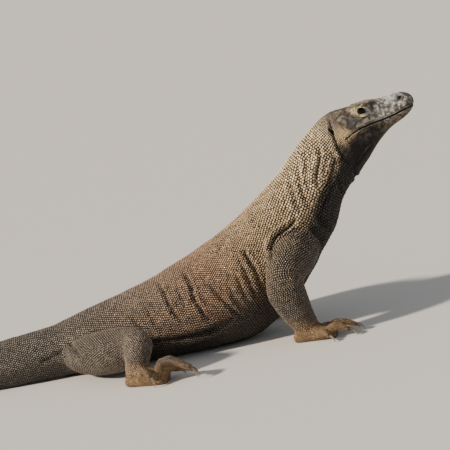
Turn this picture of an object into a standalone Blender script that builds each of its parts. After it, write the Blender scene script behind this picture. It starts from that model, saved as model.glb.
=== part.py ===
"""Komodo dragon, life size: belly on the ground, forequarters propped up, head raised, tail trailing.

Metres, +Z up. The head points along +X and the right side faces -Y. The floor is z = 0.
The flesh is a set of lofts. The spine is one long loft parted with thin cuts into tail, trunk, neck
and head. A limb is parted by a flat cut at its elbow or knee, its root is trimmed by the body and its
foot by the limb, a cut's width away.
"""

import math
from typing import NamedTuple

import bmesh
import bpy
import numpy as np
from mathutils import Matrix, Vector

CUT = 0.0003            # gap between two neighbouring pieces
SINK = 0.006            # how far resting flesh would sag below the floor before it is flattened
BODY_SIDES = 20         # points round a body section
LIMB_SIDES = 12
TOE_SIDES = 6
CLAW_SIDES = 5
CUTTERS = "cutters"     # the collection of what only cuts or joins

TAIL_LENGTH = 1.27      # from the vent to the tip
TAIL_SWAY = 0.42        # how strongly the tail swings to the side, in radians
EYE_RADIUS = 0.0125
EYE_AT = (1.1255, 0.0450, 0.5900)
BROW_RADII = (0.034, 0.0115, 0.0068)
BROW_AT = (1.130, 0.0410, 0.6025)
BROW_TURN = math.radians(-15)   # the brow follows the taper of the head
NOSTRIL_AT = (1.252, 0.0300, 0.6040)


class Section(NamedTuple):
    """One cross-section of the spine: its back point, its belly point, half its width and its squareness."""

    back_x: float
    back_z: float
    belly_x: float
    belly_z: float
    half_width: float
    square: float


# From the vent forwards. The squareness is a superellipse's exponent: 2 is an ellipse.
SPINE = (
    Section(0.130, 0.158, 0.130, -SINK, 0.066, 2.0),    # vent
    Section(0.212, 0.179, 0.215, -SINK, 0.086, 2.1),    # pelvis
    Section(0.330, 0.204, 0.345, -SINK, 0.116, 2.2),    # loin
    Section(0.425, 0.227, 0.450, -SINK, 0.140, 2.3),    # rear belly
    Section(0.529, 0.264, 0.570, -SINK, 0.154, 2.3),    # belly
    Section(0.624, 0.306, 0.680, -0.004, 0.154, 2.2),   # last ribs
    Section(0.700, 0.345, 0.765, 0.030, 0.144, 2.1),    # ribs
    Section(0.774, 0.396, 0.865, 0.110, 0.128, 2.1),    # shoulders
    Section(0.853, 0.451, 0.950, 0.215, 0.104, 2.0),    # neck base
    Section(0.896, 0.494, 0.999, 0.272, 0.090, 2.0),    # lower neck
    Section(0.938, 0.533, 1.032, 0.348, 0.079, 2.0),    # middle of the neck
    Section(0.995, 0.581, 1.092, 0.405, 0.073, 2.0),    # upper neck
    Section(1.040, 0.601, 1.125, 0.440, 0.070, 2.1),    # nape
    Section(1.085, 0.603, 1.150, 0.470, 0.071, 2.3),    # jaw angle
    Section(1.120, 0.607, 1.168, 0.489, 0.065, 2.5),    # behind the eye
    Section(1.150, 0.613, 1.185, 0.503, 0.056, 2.6),    # eye
    Section(1.182, 0.609, 1.205, 0.5175, 0.046, 2.6),   # front of the eye
    Section(1.212, 0.612, 1.228, 0.5285, 0.039, 2.5),   # middle of the snout
    Section(1.246, 0.616, 1.256, 0.541, 0.036, 2.4),    # nostrils
    Section(1.270, 0.610, 1.2745, 0.555, 0.029, 2.3),   # snout
    Section(1.286, 0.596, 1.286, 0.569, 0.015, 2.1),    # snout tip
)
# Where the spine is parted and how many rings each length has, in rows of SPINE.
TRUNK_ROWS = np.linspace(0.0, 7.4, 16)
NECK_ROWS = np.linspace(7.4, 12.0, 10)
HEAD_ROWS = np.linspace(12.0, 20.0, 19)
CENTRE_HEIGHT = 0.46    # height of a section's widest point, as a share of its depth

# The mouth line, from the corner of the mouth to the front, in x and z.
MOUTH = ((1.020, 0.492), (1.064, 0.521), (1.091, 0.535), (1.120, 0.545), (1.150, 0.550), (1.172, 0.552),
         (1.210, 0.556), (1.249, 0.566), (1.300, 0.576))


class Limb(NamedTuple):
    """A limb piece: its centre line, its half thickness near the facing direction and across it."""

    line: tuple
    deep: tuple
    wide: tuple
    facing: tuple


# The right fore leg carries weight; the left one stands a short step further back.
FORE_STEP = {"right": 0.0, "left": -0.135}
UPPER_ARM = Limb(
    line=((0.876, 0.056, 0.246), (0.852, 0.122, 0.230), (0.820, 0.176, 0.204), (0.808, 0.200, 0.180)),
    deep=(0.070, 0.070, 0.062, 0.056), wide=(0.062, 0.062, 0.057, 0.052), facing=(0, 0, 1))
FOREARM = Limb(
    line=((0.808, 0.200, 0.180), (0.811, 0.205, 0.140), (0.826, 0.208, 0.095), (0.843, 0.206, 0.055),
          (0.851, 0.205, 0.036)),
    deep=(0.054, 0.057, 0.048, 0.039, 0.034), wide=(0.050, 0.048, 0.041, 0.035, 0.032), facing=(1, 0, 0))
THIGH = Limb(
    line=((0.200, 0.055, 0.060), (0.246, 0.128, 0.072), (0.312, 0.200, 0.086), (0.370, 0.246, 0.103)),
    deep=(0.050, 0.064, 0.066, 0.052), wide=(0.064, 0.076, 0.064, 0.046), facing=(0, 0, 1))
SHIN = Limb(
    line=((0.370, 0.246, 0.103), (0.364, 0.274, 0.082), (0.356, 0.300, 0.056), (0.350, 0.316, 0.036)),
    deep=(0.043, 0.039, 0.034, 0.031), wide=(0.046, 0.043, 0.037, 0.032), facing=(1, 0, 0))


class Foot(NamedTuple):
    """A foot: ankle, heading in degrees outwards from +X, sole sizes, and its toes."""

    ankle: tuple
    heading: float
    sole_length: float
    sole_width: float
    sole_height: float
    toes: tuple


class Toe(NamedTuple):
    """A toe: its root on the sole, along and across, its heading in degrees, length, root radius and arch."""

    along: float
    across: float
    heading: float
    length: float
    radius: float
    arch: float


# Toes run from the inner to the outer side of the foot.
HAND = Foot(
    ankle=(0.838, 0.205, 0.040), heading=8, sole_length=0.092, sole_width=0.088, sole_height=0.050,
    toes=(Toe(0.045, -0.030, -42, 0.050, 0.0125, 0.010), Toe(0.068, -0.018, -16, 0.066, 0.0135, 0.016),
          Toe(0.074, 0.002, 0, 0.074, 0.0140, 0.020), Toe(0.066, 0.021, 18, 0.068, 0.0135, 0.018),
          Toe(0.040, 0.032, 48, 0.050, 0.0125, 0.012)))
HIND_FOOT = Foot(
    ankle=(0.350, 0.316, 0.038), heading=20, sole_length=0.092, sole_width=0.078, sole_height=0.056,
    toes=(Toe(0.060, -0.028, -34, 0.050, 0.0125, 0.012), Toe(0.074, -0.015, -14, 0.070, 0.0135, 0.020),
          Toe(0.076, 0.000, -2, 0.090, 0.0145, 0.034), Toe(0.060, 0.016, 3, 0.112, 0.0150, 0.050),
          Toe(0.022, 0.026, 30, 0.046, 0.0130, 0.036)))
CLAW_LENGTH = 0.038     # along its centre line
CLAW_RADIUS = 0.0064    # at its root
CLAW_TURN = math.radians(62)


# ---------------------------------------------------------------- helpers

def smooth_rows(rows, at):
    """A monotone cubic through the rows, read at the positions given in rows."""
    rows = np.asarray(rows, float)
    step = np.diff(rows, axis=0)
    slope = np.vstack([step[:1], np.zeros((len(rows) - 2, rows.shape[1])), step[-1:]])
    along = step[:-1] * step[1:] > 0
    slope[1:-1] = np.where(along, 2 * step[:-1] * step[1:] / np.where(along, step[:-1] + step[1:], 1), 0)
    first = np.clip(np.floor(at).astype(int), 0, len(rows) - 2)
    t = (np.asarray(at, float) - first)[:, None]
    return ((2 * t**3 - 3 * t**2 + 1) * rows[first] + (t**3 - 2 * t**2 + t) * slope[first]
            + (3 * t**2 - 2 * t**3) * rows[first + 1] + (t**3 - t**2) * slope[first + 1])


def rings_of(centre, up, side, above, below, width, square, sides):
    """Superellipse rings, one for each row: points x sides x 3."""
    angle = 2 * math.pi * (np.arange(sides) + 0.5) / sides
    power = 2 / np.asarray(square)[:, None]
    across = np.sign(np.cos(angle)) * np.abs(np.cos(angle)) ** power
    high = np.sign(np.sin(angle)) * np.abs(np.sin(angle)) ** power
    height = np.where(high > 0, high * np.asarray(above)[:, None], high * np.asarray(below)[:, None])
    return (centre[:, None] + side[:, None] * (across * np.asarray(width)[:, None])[..., None]
            + up[:, None] * height[..., None])


def unit(vectors):
    return vectors / np.linalg.norm(vectors, axis=-1, keepdims=True)


def place(name, bm, material, collection):
    """Makes an object of the bmesh, with its faces pointing out."""
    bmesh.ops.recalc_face_normals(bm, faces=bm.faces)
    mesh = bpy.data.meshes.new(name)
    bm.to_mesh(mesh)
    bm.free()
    obj = bpy.data.objects.new(name, mesh)
    mesh.materials.append(material)
    mesh.shade_smooth()
    collection.objects.link(obj)
    if collection.name == CUTTERS:
        obj.hide_render = True
        obj.display_type = "WIRE"
    return obj


def loft(name, rings, material, collection, floor=0.0):
    """A closed skin over the rings, flattened where it rests on the floor.

    It is made of triangles, so that a grown copy has the same facets and keeps its distance.
    """
    rings = rings.copy()
    rings[..., 2] = np.maximum(rings[..., 2], floor)
    bm = bmesh.new()
    rows = [[bm.verts.new(point) for point in ring] for ring in rings]
    for low, high in zip(rows, rows[1:]):
        for i in range(len(low)):
            j = (i + 1) % len(low)
            bm.faces.new((low[i], low[j], high[j]))
            bm.faces.new((low[i], high[j], high[i]))
    bm.faces.new(rows[0][::-1])
    bm.faces.new(rows[-1])
    return place(name, bm, material, collection)


def ellipsoid(name, centre, radii, material, collection, segments=10, rows=6, turn=0.0):
    bm = bmesh.new()
    bmesh.ops.create_uvsphere(bm, u_segments=segments, v_segments=rows, radius=1)
    bmesh.ops.scale(bm, vec=radii, verts=bm.verts)
    bmesh.ops.rotate(bm, cent=(0, 0, 0), matrix=Matrix.Rotation(turn, 3, "Z"), verts=bm.verts)
    bmesh.ops.translate(bm, vec=centre, verts=bm.verts)
    return place(name, bm, material, collection)


def combine(obj, operation, *others):
    """Adds one exact Boolean for each of the others."""
    for other in others:
        modifier = obj.modifiers.new(f"{operation.lower()} {other.name}", "BOOLEAN")
        modifier.operation = operation
        modifier.object = other
        modifier.solver = "EXACT"
    return obj


def paint(name, colour, roughness):
    material = bpy.data.materials.new(name)
    material.use_nodes = True
    shader = material.node_tree.nodes["Principled BSDF"]
    shader.inputs["Base Color"].default_value = (*colour, 1)
    shader.inputs["Roughness"].default_value = roughness
    return material


# ---------------------------------------------------------------- spine

def spine_rings(at, grow=0.0):
    """Rings of the trunk, neck or head at the given rows of SPINE, pulled in by half a cut at both ends."""
    row = smooth_rows(SPINE, at)
    count = len(at)
    zero = np.zeros(count)
    back = np.stack([row[:, 0], zero, row[:, 1]], 1)
    belly = np.stack([row[:, 2], zero, row[:, 3]], 1)
    depth = np.linalg.norm(back - belly, axis=1)
    up = unit(back - belly)
    centre = belly + up * (depth * CENTRE_HEIGHT)[:, None]
    forward = np.stack([up[:, 2], zero, -up[:, 0]], 1)
    if not grow:
        centre[0] += forward[0] * CUT / 2
        centre[-1] -= forward[-1] * CUT / 2
    side = np.tile([0.0, 1.0, 0.0], (count, 1))
    return rings_of(centre, up, side, depth * (1 - CENTRE_HEIGHT) + grow, depth * CENTRE_HEIGHT + grow,
                    row[:, 4] + grow, row[:, 5], BODY_SIDES)


def tail_rings(start, end, count, grow=0.0):
    """Rings of the tail between two shares of its length: a flat-sided cone that swings along the floor."""
    fine = np.linspace(0, 1, 400)
    heading = TAIL_SWAY * np.sin(math.pi * 1.5 * fine) * fine**0.35
    stride = np.stack([-np.cos(heading), np.sin(heading)], 1) * TAIL_LENGTH / len(fine)
    walk = np.cumsum(stride, axis=0) - stride[0]
    share = np.linspace(start, end, count)
    turn = np.interp(share, fine, heading)
    x = SPINE[0].back_x + np.interp(share, fine, walk[:, 0])
    y = np.interp(share, fine, walk[:, 1])
    left = np.maximum(1 - share, 0)
    depth = (SPINE[0].back_z + SINK) * left**0.82 + 0.006 * share
    width = SPINE[0].half_width * left**0.95 + 0.003 * share
    forward = np.stack([np.cos(turn), -np.sin(turn), 0 * turn], 1)
    side = np.stack([np.sin(turn), np.cos(turn), 0 * turn], 1)
    up = np.tile([0.0, 0.0, 1.0], (count, 1))
    sink = SINK * left
    centre = np.stack([x, y, depth * CENTRE_HEIGHT - sink], 1)
    if not grow:
        centre[0] -= forward[0] * CUT / 2
        centre[-1] += forward[-1] * CUT / 2
    return rings_of(centre, up, side, depth * (1 - CENTRE_HEIGHT) + grow, depth * CENTRE_HEIGHT + grow,
                    width + grow, np.full(count, 2.0), BODY_SIDES)


def build_spine(skin, parts, cutters):
    """Tail lengths, trunk, neck, and the whole head that build_head then works on."""
    for name, start, end, count in (("tail_base", 0.0, 0.22, 6), ("tail_fore", 0.22, 0.46, 6),
                                    ("tail_middle", 0.46, 0.72, 6), ("tail_tip", 0.72, 1.0, 6)):
        loft(name, tail_rings(start, end, count), skin, parts)
    loft("trunk", spine_rings(TRUNK_ROWS), skin, parts)
    loft("neck", spine_rings(NECK_ROWS), skin, parts)
    tail = loft("tail_root_cutter", tail_rings(0.0, 0.22, 6, CUT), skin, cutters, -CUT)
    body = loft("body_cutter", spine_rings(np.r_[TRUNK_ROWS, NECK_ROWS[1:]], CUT), skin, cutters, -CUT)
    return tail, body


# ---------------------------------------------------------------- head

def jaw_block(name, lift, skin, cutters):
    """All the space below the mouth line, raised by lift."""
    bottom = 0.38
    outline = [(x, z + lift) for x, z in MOUTH] + [(MOUTH[-1][0], bottom), (MOUTH[0][0], bottom)]
    bm = bmesh.new()
    face = bm.faces.new([bm.verts.new((x, -0.12, z)) for x, z in outline])
    swept = bmesh.ops.extrude_face_region(bm, geom=[face])["geom"]
    bmesh.ops.translate(bm, vec=(0, 0.24, 0), verts=[v for v in swept if isinstance(v, bmesh.types.BMVert)])
    return place(name, bm, skin, cutters)


def build_head(skin, eye_finish, parts, cutters):
    """The head above the mouth line with its brows, eye sockets and nostrils, the lower jaw, and the eyes."""
    rings = spine_rings(HEAD_ROWS)
    head = loft("head", rings, skin, parts)
    jaw = loft("lower_jaw", rings, skin, parts)
    combine(jaw, "INTERSECT", jaw_block("jaw_space", 0.0, skin, cutters))
    combine(head, "DIFFERENCE", jaw_block("jaw_space_with_cut", CUT, skin, cutters))
    for side, sign in (("right", -1), ("left", 1)):
        x, y, z = EYE_AT[0], sign * EYE_AT[1], EYE_AT[2]
        brow = ellipsoid(f"brow_{side}", (BROW_AT[0], sign * BROW_AT[1], BROW_AT[2]), BROW_RADII, skin, cutters,
                         turn=sign * BROW_TURN)
        socket = ellipsoid(f"socket_{side}", (x, y, z), (EYE_RADIUS + CUT,) * 3, skin, cutters, 12, 8)
        nostril = ellipsoid(f"nostril_{side}", (NOSTRIL_AT[0], sign * NOSTRIL_AT[1], NOSTRIL_AT[2]),
                            (0.0065, 0.0060, 0.0042), skin, cutters, 8, 6)
        combine(head, "UNION", brow)
        combine(head, "DIFFERENCE", socket, nostril)
        ellipsoid(f"eye_{side}", (x, y, z), (EYE_RADIUS,) * 3, eye_finish, parts, 12, 8)


# ---------------------------------------------------------------- limbs

def mirrored(points, side, step=0.0):
    """The limb's points on one side of the body, moved along it by a step."""
    sign = -1 if side == "right" else 1
    return np.asarray(points, float) * (1, sign, 1) + (step, 0, 0)


def limb_rings(limb, side, count, step=0.0, grow=0.0):
    """Rings along a limb piece, with both ends rounded off."""
    at = np.linspace(0, len(limb.line) - 1, count)
    line = smooth_rows(mirrored(limb.line, side, step), at)
    deep, wide = smooth_rows(np.stack([limb.deep, limb.wide], 1), at).T
    tangent = unit(np.gradient(line, axis=0))
    rounding = np.radians([68, 34])
    ends = len(rounding)
    head = [(line[0] - tangent[0] * deep[0] * math.sin(a) * 0.8, math.cos(a)) for a in rounding]
    tail = [(line[-1] + tangent[-1] * deep[-1] * math.sin(a) * 0.8, math.cos(a)) for a in rounding[::-1]]
    line = np.array([p for p, _ in head] + list(line) + [p for p, _ in tail])
    share = np.array([s for _, s in head] + [1.0] * count + [s for _, s in tail])
    deep = np.r_[[deep[0]] * ends, deep, [deep[-1]] * ends] * share + grow
    wide = np.r_[[wide[0]] * ends, wide, [wide[-1]] * ends] * share + grow
    tangent = np.vstack([[tangent[0]] * ends, tangent, [tangent[-1]] * ends])
    line[0] -= tangent[0] * grow
    line[-1] += tangent[-1] * grow
    across = unit(np.cross(tangent, np.asarray(limb.facing, float)))
    up = np.cross(across, tangent)
    return rings_of(line, up, across, deep, deep, wide, np.full(len(line), 2.0), LIMB_SIDES)


def half_space(name, point, normal, skin, cutters, size=0.5):
    """A block that fills the space ahead of a plane, to cut a limb flat across its bend."""
    bm = bmesh.new()
    bmesh.ops.create_cube(bm, size=size)
    turn = Vector((0, 0, 1)).rotation_difference(Vector(normal)).to_matrix().to_4x4()
    centre = np.asarray(point) + np.asarray(normal) * size / 2
    bmesh.ops.transform(bm, matrix=Matrix.Translation(centre) @ turn, verts=bm.verts)
    return place(name, bm, skin, cutters)


def part_at_bend(top, middle, upper, lower, side, step, skin, cutters):
    """Parts a limb across the plane that halves the angle at its elbow or knee."""
    above = mirrored(upper.line, side, step)
    below = mirrored(lower.line, side, step)
    bend = below[0]
    normal = unit(unit(bend - above[-2]) + unit(below[1] - bend))
    combine(top, "DIFFERENCE", half_space(f"beyond_{top.name}", bend, normal, skin, cutters))
    combine(middle, "DIFFERENCE", half_space(f"before_{middle.name}", bend + normal * CUT, -normal, skin, cutters))


def build_foot(name, foot, side, step, skin, horn, parts, cutters):
    """A sole with five toes joined to it, and a claw just off the end of each toe."""
    sign = -1 if side == "right" else 1
    ankle = mirrored([foot.ankle], side, step)[0]

    def aim(degrees):
        angle = math.radians(foot.heading + degrees) * sign
        return np.array([math.cos(angle), math.sin(angle), 0.0])

    ahead, across = aim(0), aim(90)
    flat = np.array([0.0, 0.0, 1.0])
    # Heel to knuckles: (share along the sole, height share, width share)
    shape = np.array([(-0.38, 0.36, 0.36), (-0.28, 0.72, 0.56), (-0.02, 1.00, 0.72), (0.40, 0.88, 0.92),
                      (0.72, 0.68, 1.00), (0.92, 0.50, 0.86), (1.02, 0.30, 0.62)])
    count = len(shape)
    base = ankle * (1, 1, 0)
    height = foot.sole_height * shape[:, 1]
    centre = base + ahead * (foot.sole_length * shape[:, :1]) + flat * (height[:, None] * 0.42)
    rings = rings_of(centre, np.tile(flat, (count, 1)), np.tile(across, (count, 1)), height * 0.58,
                     height * 0.42 + 0.004, foot.sole_width / 2 * shape[:, 2], np.full(count, 2.4), LIMB_SIDES)
    sole = loft(name, rings, skin, parts)
    for number, toe in enumerate(foot.toes, 1):
        way = aim(toe.heading)
        root = base + ahead * toe.along + across * toe.across
        share = np.linspace(0, 1, 5)
        bow = np.sin(math.pi * share**0.8) * (1 - 0.35 * share) + 0.5 * share
        lift = toe.radius * (1.35 - 0.45 * share) + toe.arch * bow
        line = root + way * (toe.length * share)[:, None] + flat * lift[:, None]
        thick = toe.radius * (1.0 - 0.30 * share)
        tangent = unit(np.gradient(line, axis=0))
        beside = np.tile(np.cross(flat, way), (len(share), 1))
        upward = np.cross(tangent, beside)
        toe_rings = rings_of(line, upward, beside, thick, thick, thick * 1.05, np.full(len(share), 2.0), TOE_SIDES)
        combine(sole, "UNION", loft(f"{name}_toe_{number}", toe_rings, skin, cutters))
        build_claw(f"{name}_claw_{number}", line[-1] + tangent[-1] * CUT, tangent[-1], upward[-1], horn, parts)
    return sole


def build_claw(name, root, way, up, horn, parts):
    """A curved, tapering claw: its centre line turns down at an even rate."""
    share = np.linspace(0, 1, 5)
    angle = CLAW_TURN * share
    heading = way * np.cos(angle)[:, None] - up * np.sin(angle)[:, None]
    step = np.vstack([np.zeros(3), (heading[:-1] + heading[1:]) / 2]) * CLAW_LENGTH / (len(share) - 1)
    line = root + np.cumsum(step, axis=0)
    upward = up * np.cos(angle)[:, None] + way * np.sin(angle)[:, None]
    beside = np.tile(np.cross(way, up), (len(share), 1))
    thick = CLAW_RADIUS * (1 - 0.88 * share**1.3)
    rings = rings_of(line, upward, beside, thick * 1.15, thick * 0.95, thick * 0.8,
                     np.full(len(share), 2.0), CLAW_SIDES)
    lift = max(0.0, 0.0004 - rings[..., 2].min())
    rings[..., 2] += lift * np.linspace(0, 1, len(share))[:, None]
    loft(name, rings, horn, parts)


def build_legs(skin, horn, parts, cutters, body):
    """All four legs: the upper piece, the lower piece and the foot of each."""
    for leg, upper, lower, foot in (("fore", UPPER_ARM, FOREARM, HAND), ("hind", THIGH, SHIN, HIND_FOOT)):
        names = {"fore": ("upper_arm", "forearm", "hand"), "hind": ("thigh", "shin", "hind_foot")}[leg]
        for side in ("right", "left"):
            step = FORE_STEP[side] if leg == "fore" else 0.0
            first, second, third = (f"{name}_{side}" for name in names)
            top = loft(first, limb_rings(upper, side, 6, step), skin, parts)
            middle = loft(second, limb_rings(lower, side, 6, step), skin, parts)
            end = build_foot(third, foot, side, step, skin, horn, parts, cutters)
            part_at_bend(top, middle, upper, lower, side, step, skin, cutters)
            middle_cutter = loft(f"{second}_cutter", limb_rings(lower, side, 6, step, CUT), skin, cutters, -CUT)
            combine(top, "DIFFERENCE", *body)
            combine(middle, "DIFFERENCE", *body)
            combine(end, "DIFFERENCE", middle_cutter)


# ---------------------------------------------------------------- assembly

def centre_on_floor(parts, cutters):
    """Moves everything so that the origin is under the middle of the animal's box."""
    graph = bpy.context.evaluated_depsgraph_get()
    corners = []
    for obj in parts.objects:
        mesh = obj.evaluated_get(graph).to_mesh()
        points = np.empty(len(mesh.vertices) * 3)
        mesh.vertices.foreach_get("co", points)
        corners += [points.reshape(-1, 3).min(0), points.reshape(-1, 3).max(0)]
    middle = (np.min(corners, 0) + np.max(corners, 0)) / 2
    for obj in (*parts.objects, *cutters.objects):
        obj.location = (-middle[0], -middle[1], 0)


def main():
    for obj in list(bpy.data.objects):
        bpy.data.objects.remove(obj)
    parts = bpy.data.collections.new("komodo_dragon")
    cutters = bpy.data.collections.new(CUTTERS)
    for collection in (parts, cutters):
        bpy.context.scene.collection.children.link(collection)
    skin = paint("scaled skin", (0.105, 0.075, 0.050), 0.75)
    horn = paint("claw horn", (0.060, 0.048, 0.038), 0.40)
    eye_finish = paint("eye", (0.012, 0.008, 0.006), 0.08)
    body = build_spine(skin, parts, cutters)
    build_head(skin, eye_finish, parts, cutters)
    build_legs(skin, horn, parts, cutters, body)
    bpy.context.view_layer.update()
    centre_on_floor(parts, cutters)


main()
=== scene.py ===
"""Komodo dragon: one skin, its coat of scales, eyes and claws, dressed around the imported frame.

Lengths are metres, +X runs to the head, +Z is up and the right side faces -Y. Sizes and places are
read from the frame's nodes. The skin is a voxel skin over the flesh nodes, smoothed and folded.
The coat is laid in rings around the centre lines of the body and the legs, and dotted over the
feet and over what the rings leave.
"""

from __future__ import annotations

import logging
import math
from collections.abc import Sequence
from dataclasses import dataclass, field
from enum import Enum

import bmesh
import bpy
import numpy as np
from bpy.types import Material, Mesh, Node, NodeSocket, NodeTree, Object
from mathutils import Matrix, Vector

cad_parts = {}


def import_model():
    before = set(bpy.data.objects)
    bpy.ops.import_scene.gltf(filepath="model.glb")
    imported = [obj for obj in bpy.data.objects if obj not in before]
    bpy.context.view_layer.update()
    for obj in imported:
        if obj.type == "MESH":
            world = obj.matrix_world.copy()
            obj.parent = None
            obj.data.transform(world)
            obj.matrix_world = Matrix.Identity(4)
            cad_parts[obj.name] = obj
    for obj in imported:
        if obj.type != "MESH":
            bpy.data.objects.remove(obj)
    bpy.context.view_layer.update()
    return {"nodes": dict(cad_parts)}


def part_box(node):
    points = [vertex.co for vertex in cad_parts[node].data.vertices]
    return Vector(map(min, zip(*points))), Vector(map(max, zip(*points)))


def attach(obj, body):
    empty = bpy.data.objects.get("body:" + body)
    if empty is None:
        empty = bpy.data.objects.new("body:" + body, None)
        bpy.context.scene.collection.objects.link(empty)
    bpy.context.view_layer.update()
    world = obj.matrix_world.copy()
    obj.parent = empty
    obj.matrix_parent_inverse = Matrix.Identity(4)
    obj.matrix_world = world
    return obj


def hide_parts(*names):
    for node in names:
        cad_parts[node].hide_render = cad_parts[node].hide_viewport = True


log = logging.getLogger("komodo")
Array = np.ndarray

BAKE_MAP = "OFBake"
PATCH = 0.003                       # size of one scale's patch on the bake map
SIDES = {"right": -1, "left": 1}    # the sign of Y on each side
BOTH = (1, -1)                      # signs of the degrees of what both sides carry
FAR = 99.0                          # stands for "nowhere near"
STORED = {1: ("FLOAT", "value"), 3: ("FLOAT_VECTOR", "vector"), 4: ("FLOAT_COLOR", "color")}


# ---------------------------------------------------------------- small tools

def norm(vectors: Array) -> Array:
    """Returns the vectors' lengths, taken along the last axis."""
    return np.linalg.norm(vectors, axis=-1)


def unit(vectors: Array) -> Array:
    """Returns the vectors scaled to length one along their last axis."""
    return vectors / np.maximum(np.linalg.norm(vectors, axis=-1, keepdims=True), 1e-12)


def smoothstep(low: float, high: float, values: Array) -> Array:
    """Returns 0 below low and 1 above high, with the cubic 3t^2 - 2t^3 between them."""
    t = np.clip((values - low) / (high - low), 0, 1)
    return t * t * (3 - 2 * t)


def bell(distance: Array, width: float | Array) -> Array:
    """Returns a bell curve, exp(-(distance / width)^2)."""
    return np.exp(-(distance / width) ** 2)


def ridges(values: Array, table: Sequence[tuple[float, float, float]]) -> Array:
    """Returns a sum of bells, each given by its middle, its width and its height."""
    return sum(height * bell(values - middle, width) for middle, width, height in table)


def mix(one: Array, two: Array, share: Array) -> Array:
    """Returns one where the share is 0, two where it is 1, and a blend between."""
    return one * (1 - share) + two * share


def walked(line: Array) -> Array:
    """Returns the length of the way to each point of a line."""
    return np.r_[0, np.cumsum(norm(np.diff(line, axis=0)))]


def read_between(at: Array, known: Array, rows: Array) -> Array:
    """Reads rows that are given at known numbers at other numbers, in straight lines between."""
    return np.stack([np.interp(at, known, column) for column in np.asarray(rows).T], 1)


def linear(code: str) -> Array:
    """Turns a colour to linear light by the sRGB standard's curve.

    Args:
        code: the colour as #rrggbb.

    Returns:
        Red, green and blue, each from 0 to 1.
    """
    srgb = np.array([int(code[i:i + 2], 16) for i in (1, 3, 5)]) / 255
    return np.where(srgb <= 0.04045, srgb / 12.92, ((srgb + 0.055) / 1.055) ** 2.4)


def add_node(tree: NodeTree, kind: str, inputs: dict | None = None, **settings) -> Node:
    """Adds a node, sets its settings, and fills its inputs.

    Args:
        tree: the node tree.
        kind: the node's type name.
        inputs: input names or numbers, each with a value or the socket that feeds it.
        settings: the node's own properties.

    Returns:
        The new node.
    """
    node = tree.nodes.new(kind)
    for name, value in settings.items():
        setattr(node, name, value)
    for key, value in (inputs or {}).items():
        if isinstance(value, NodeSocket):
            tree.links.new(value, node.inputs[key])
        else:
            node.inputs[key].default_value = value
    return node


def make_mesh(name: str, points: Array, faces: Array | None = None) -> Mesh:
    """Puts arrays into a mesh.

    Args:
        name: the mesh's name.
        points: the corners, n x 3.
        faces: corner numbers, one row for each face, or none for loose points. A row with -1 in
            its last places has fewer corners.

    Returns:
        The mesh.
    """
    mesh = bpy.data.meshes.new(name)
    mesh.vertices.add(len(points))
    move_points(mesh, points)
    if faces is not None:
        used = faces >= 0
        sizes = used.sum(1)
        mesh.loops.add(int(sizes.sum()))
        mesh.loops.foreach_set("vertex_index", faces[used].astype(np.int32))
        mesh.polygons.add(len(faces))
        mesh.polygons.foreach_set("loop_start", (np.cumsum(sizes) - sizes).astype(np.int32))
        mesh.update(calc_edges=True)
        mesh.shade_smooth()
    mesh.update()
    return mesh


def move_points(mesh: Mesh, points: Array) -> None:
    """Puts a mesh's corners at the points."""
    mesh.vertices.foreach_set("co", np.ascontiguousarray(points, np.float32).ravel())
    mesh.update()


def ring_faces(rings: int, around: int) -> Array:
    """Returns four-sided faces between closed rings of corners that follow each other, n x 4."""
    row, column = np.meshgrid(np.arange(rings - 1), np.arange(around), indexing="ij")
    beside = (column + 1) % around
    return np.stack([row * around + column, (row + 1) * around + column,
                     (row + 1) * around + beside, row * around + beside], -1).reshape(-1, 4)


def make_object(name: str, mesh: Mesh) -> Object:
    """Returns a new object of the mesh, linked to the scene."""
    obj = bpy.data.objects.new(name, mesh)
    bpy.context.scene.collection.objects.link(obj)
    return obj


def add_values(mesh: Mesh, name: str, values: Array) -> None:
    """Stores one number, vector or linear colour for each point of the mesh."""
    kind, key = STORED[1 if values.ndim == 1 else values.shape[1]]
    layer = mesh.attributes.new(name, kind, "POINT")
    layer.data.foreach_set(key, np.ascontiguousarray(values, np.float32).ravel())


def read(items: Sequence, what: str, width: int = 1, kind: type = np.int32) -> Array:
    """Returns a number of each of a mesh's items, or a row of numbers where width is over 1."""
    out = np.empty(len(items) * width, kind)
    items.foreach_get(what, out)
    return out.reshape(-1, width) if width > 1 else out


def read_points(mesh: Mesh, what: str = "co") -> Array:
    """Returns a mesh's corner places, or with what="normal" their normals, as n x 3."""
    return read(mesh.vertices, what, 3, np.float32).astype(float)


def read_triangles(mesh: Mesh) -> Array:
    """Returns a mesh's triangles as rows of three corner numbers."""
    mesh.calc_loop_triangles()
    return read(mesh.loop_triangles, "vertices", 3)


def evaluated(obj: Object) -> Mesh:
    """Returns the object's mesh with its modifiers applied, as new data."""
    graph = bpy.context.evaluated_depsgraph_get()
    return bpy.data.meshes.new_from_object(obj.evaluated_get(graph), depsgraph=graph)


def discard(obj: Object) -> None:
    """Removes a working object and its mesh."""
    mesh = obj.data
    bpy.data.objects.remove(obj)
    bpy.data.meshes.remove(mesh)


def new_tree(name: str) -> NodeTree:
    """Returns an empty Geometry Nodes tree with geometry in and geometry out."""
    tree = bpy.data.node_groups.new(name, "GeometryNodeTree")
    for way in ("INPUT", "OUTPUT"):
        tree.interface.new_socket("Geometry", in_out=way, socket_type="NodeSocketGeometry")
    return tree


def run_tree(tree: NodeTree, mesh: Mesh) -> Mesh:
    """Returns what a tree makes of a mesh, and removes the tree and the first mesh."""
    holder = make_object(tree.name, mesh)
    holder.modifiers.new(tree.name, "NODES").node_group = tree
    made = evaluated(holder)
    discard(holder)
    bpy.data.node_groups.remove(tree)
    return made


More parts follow.
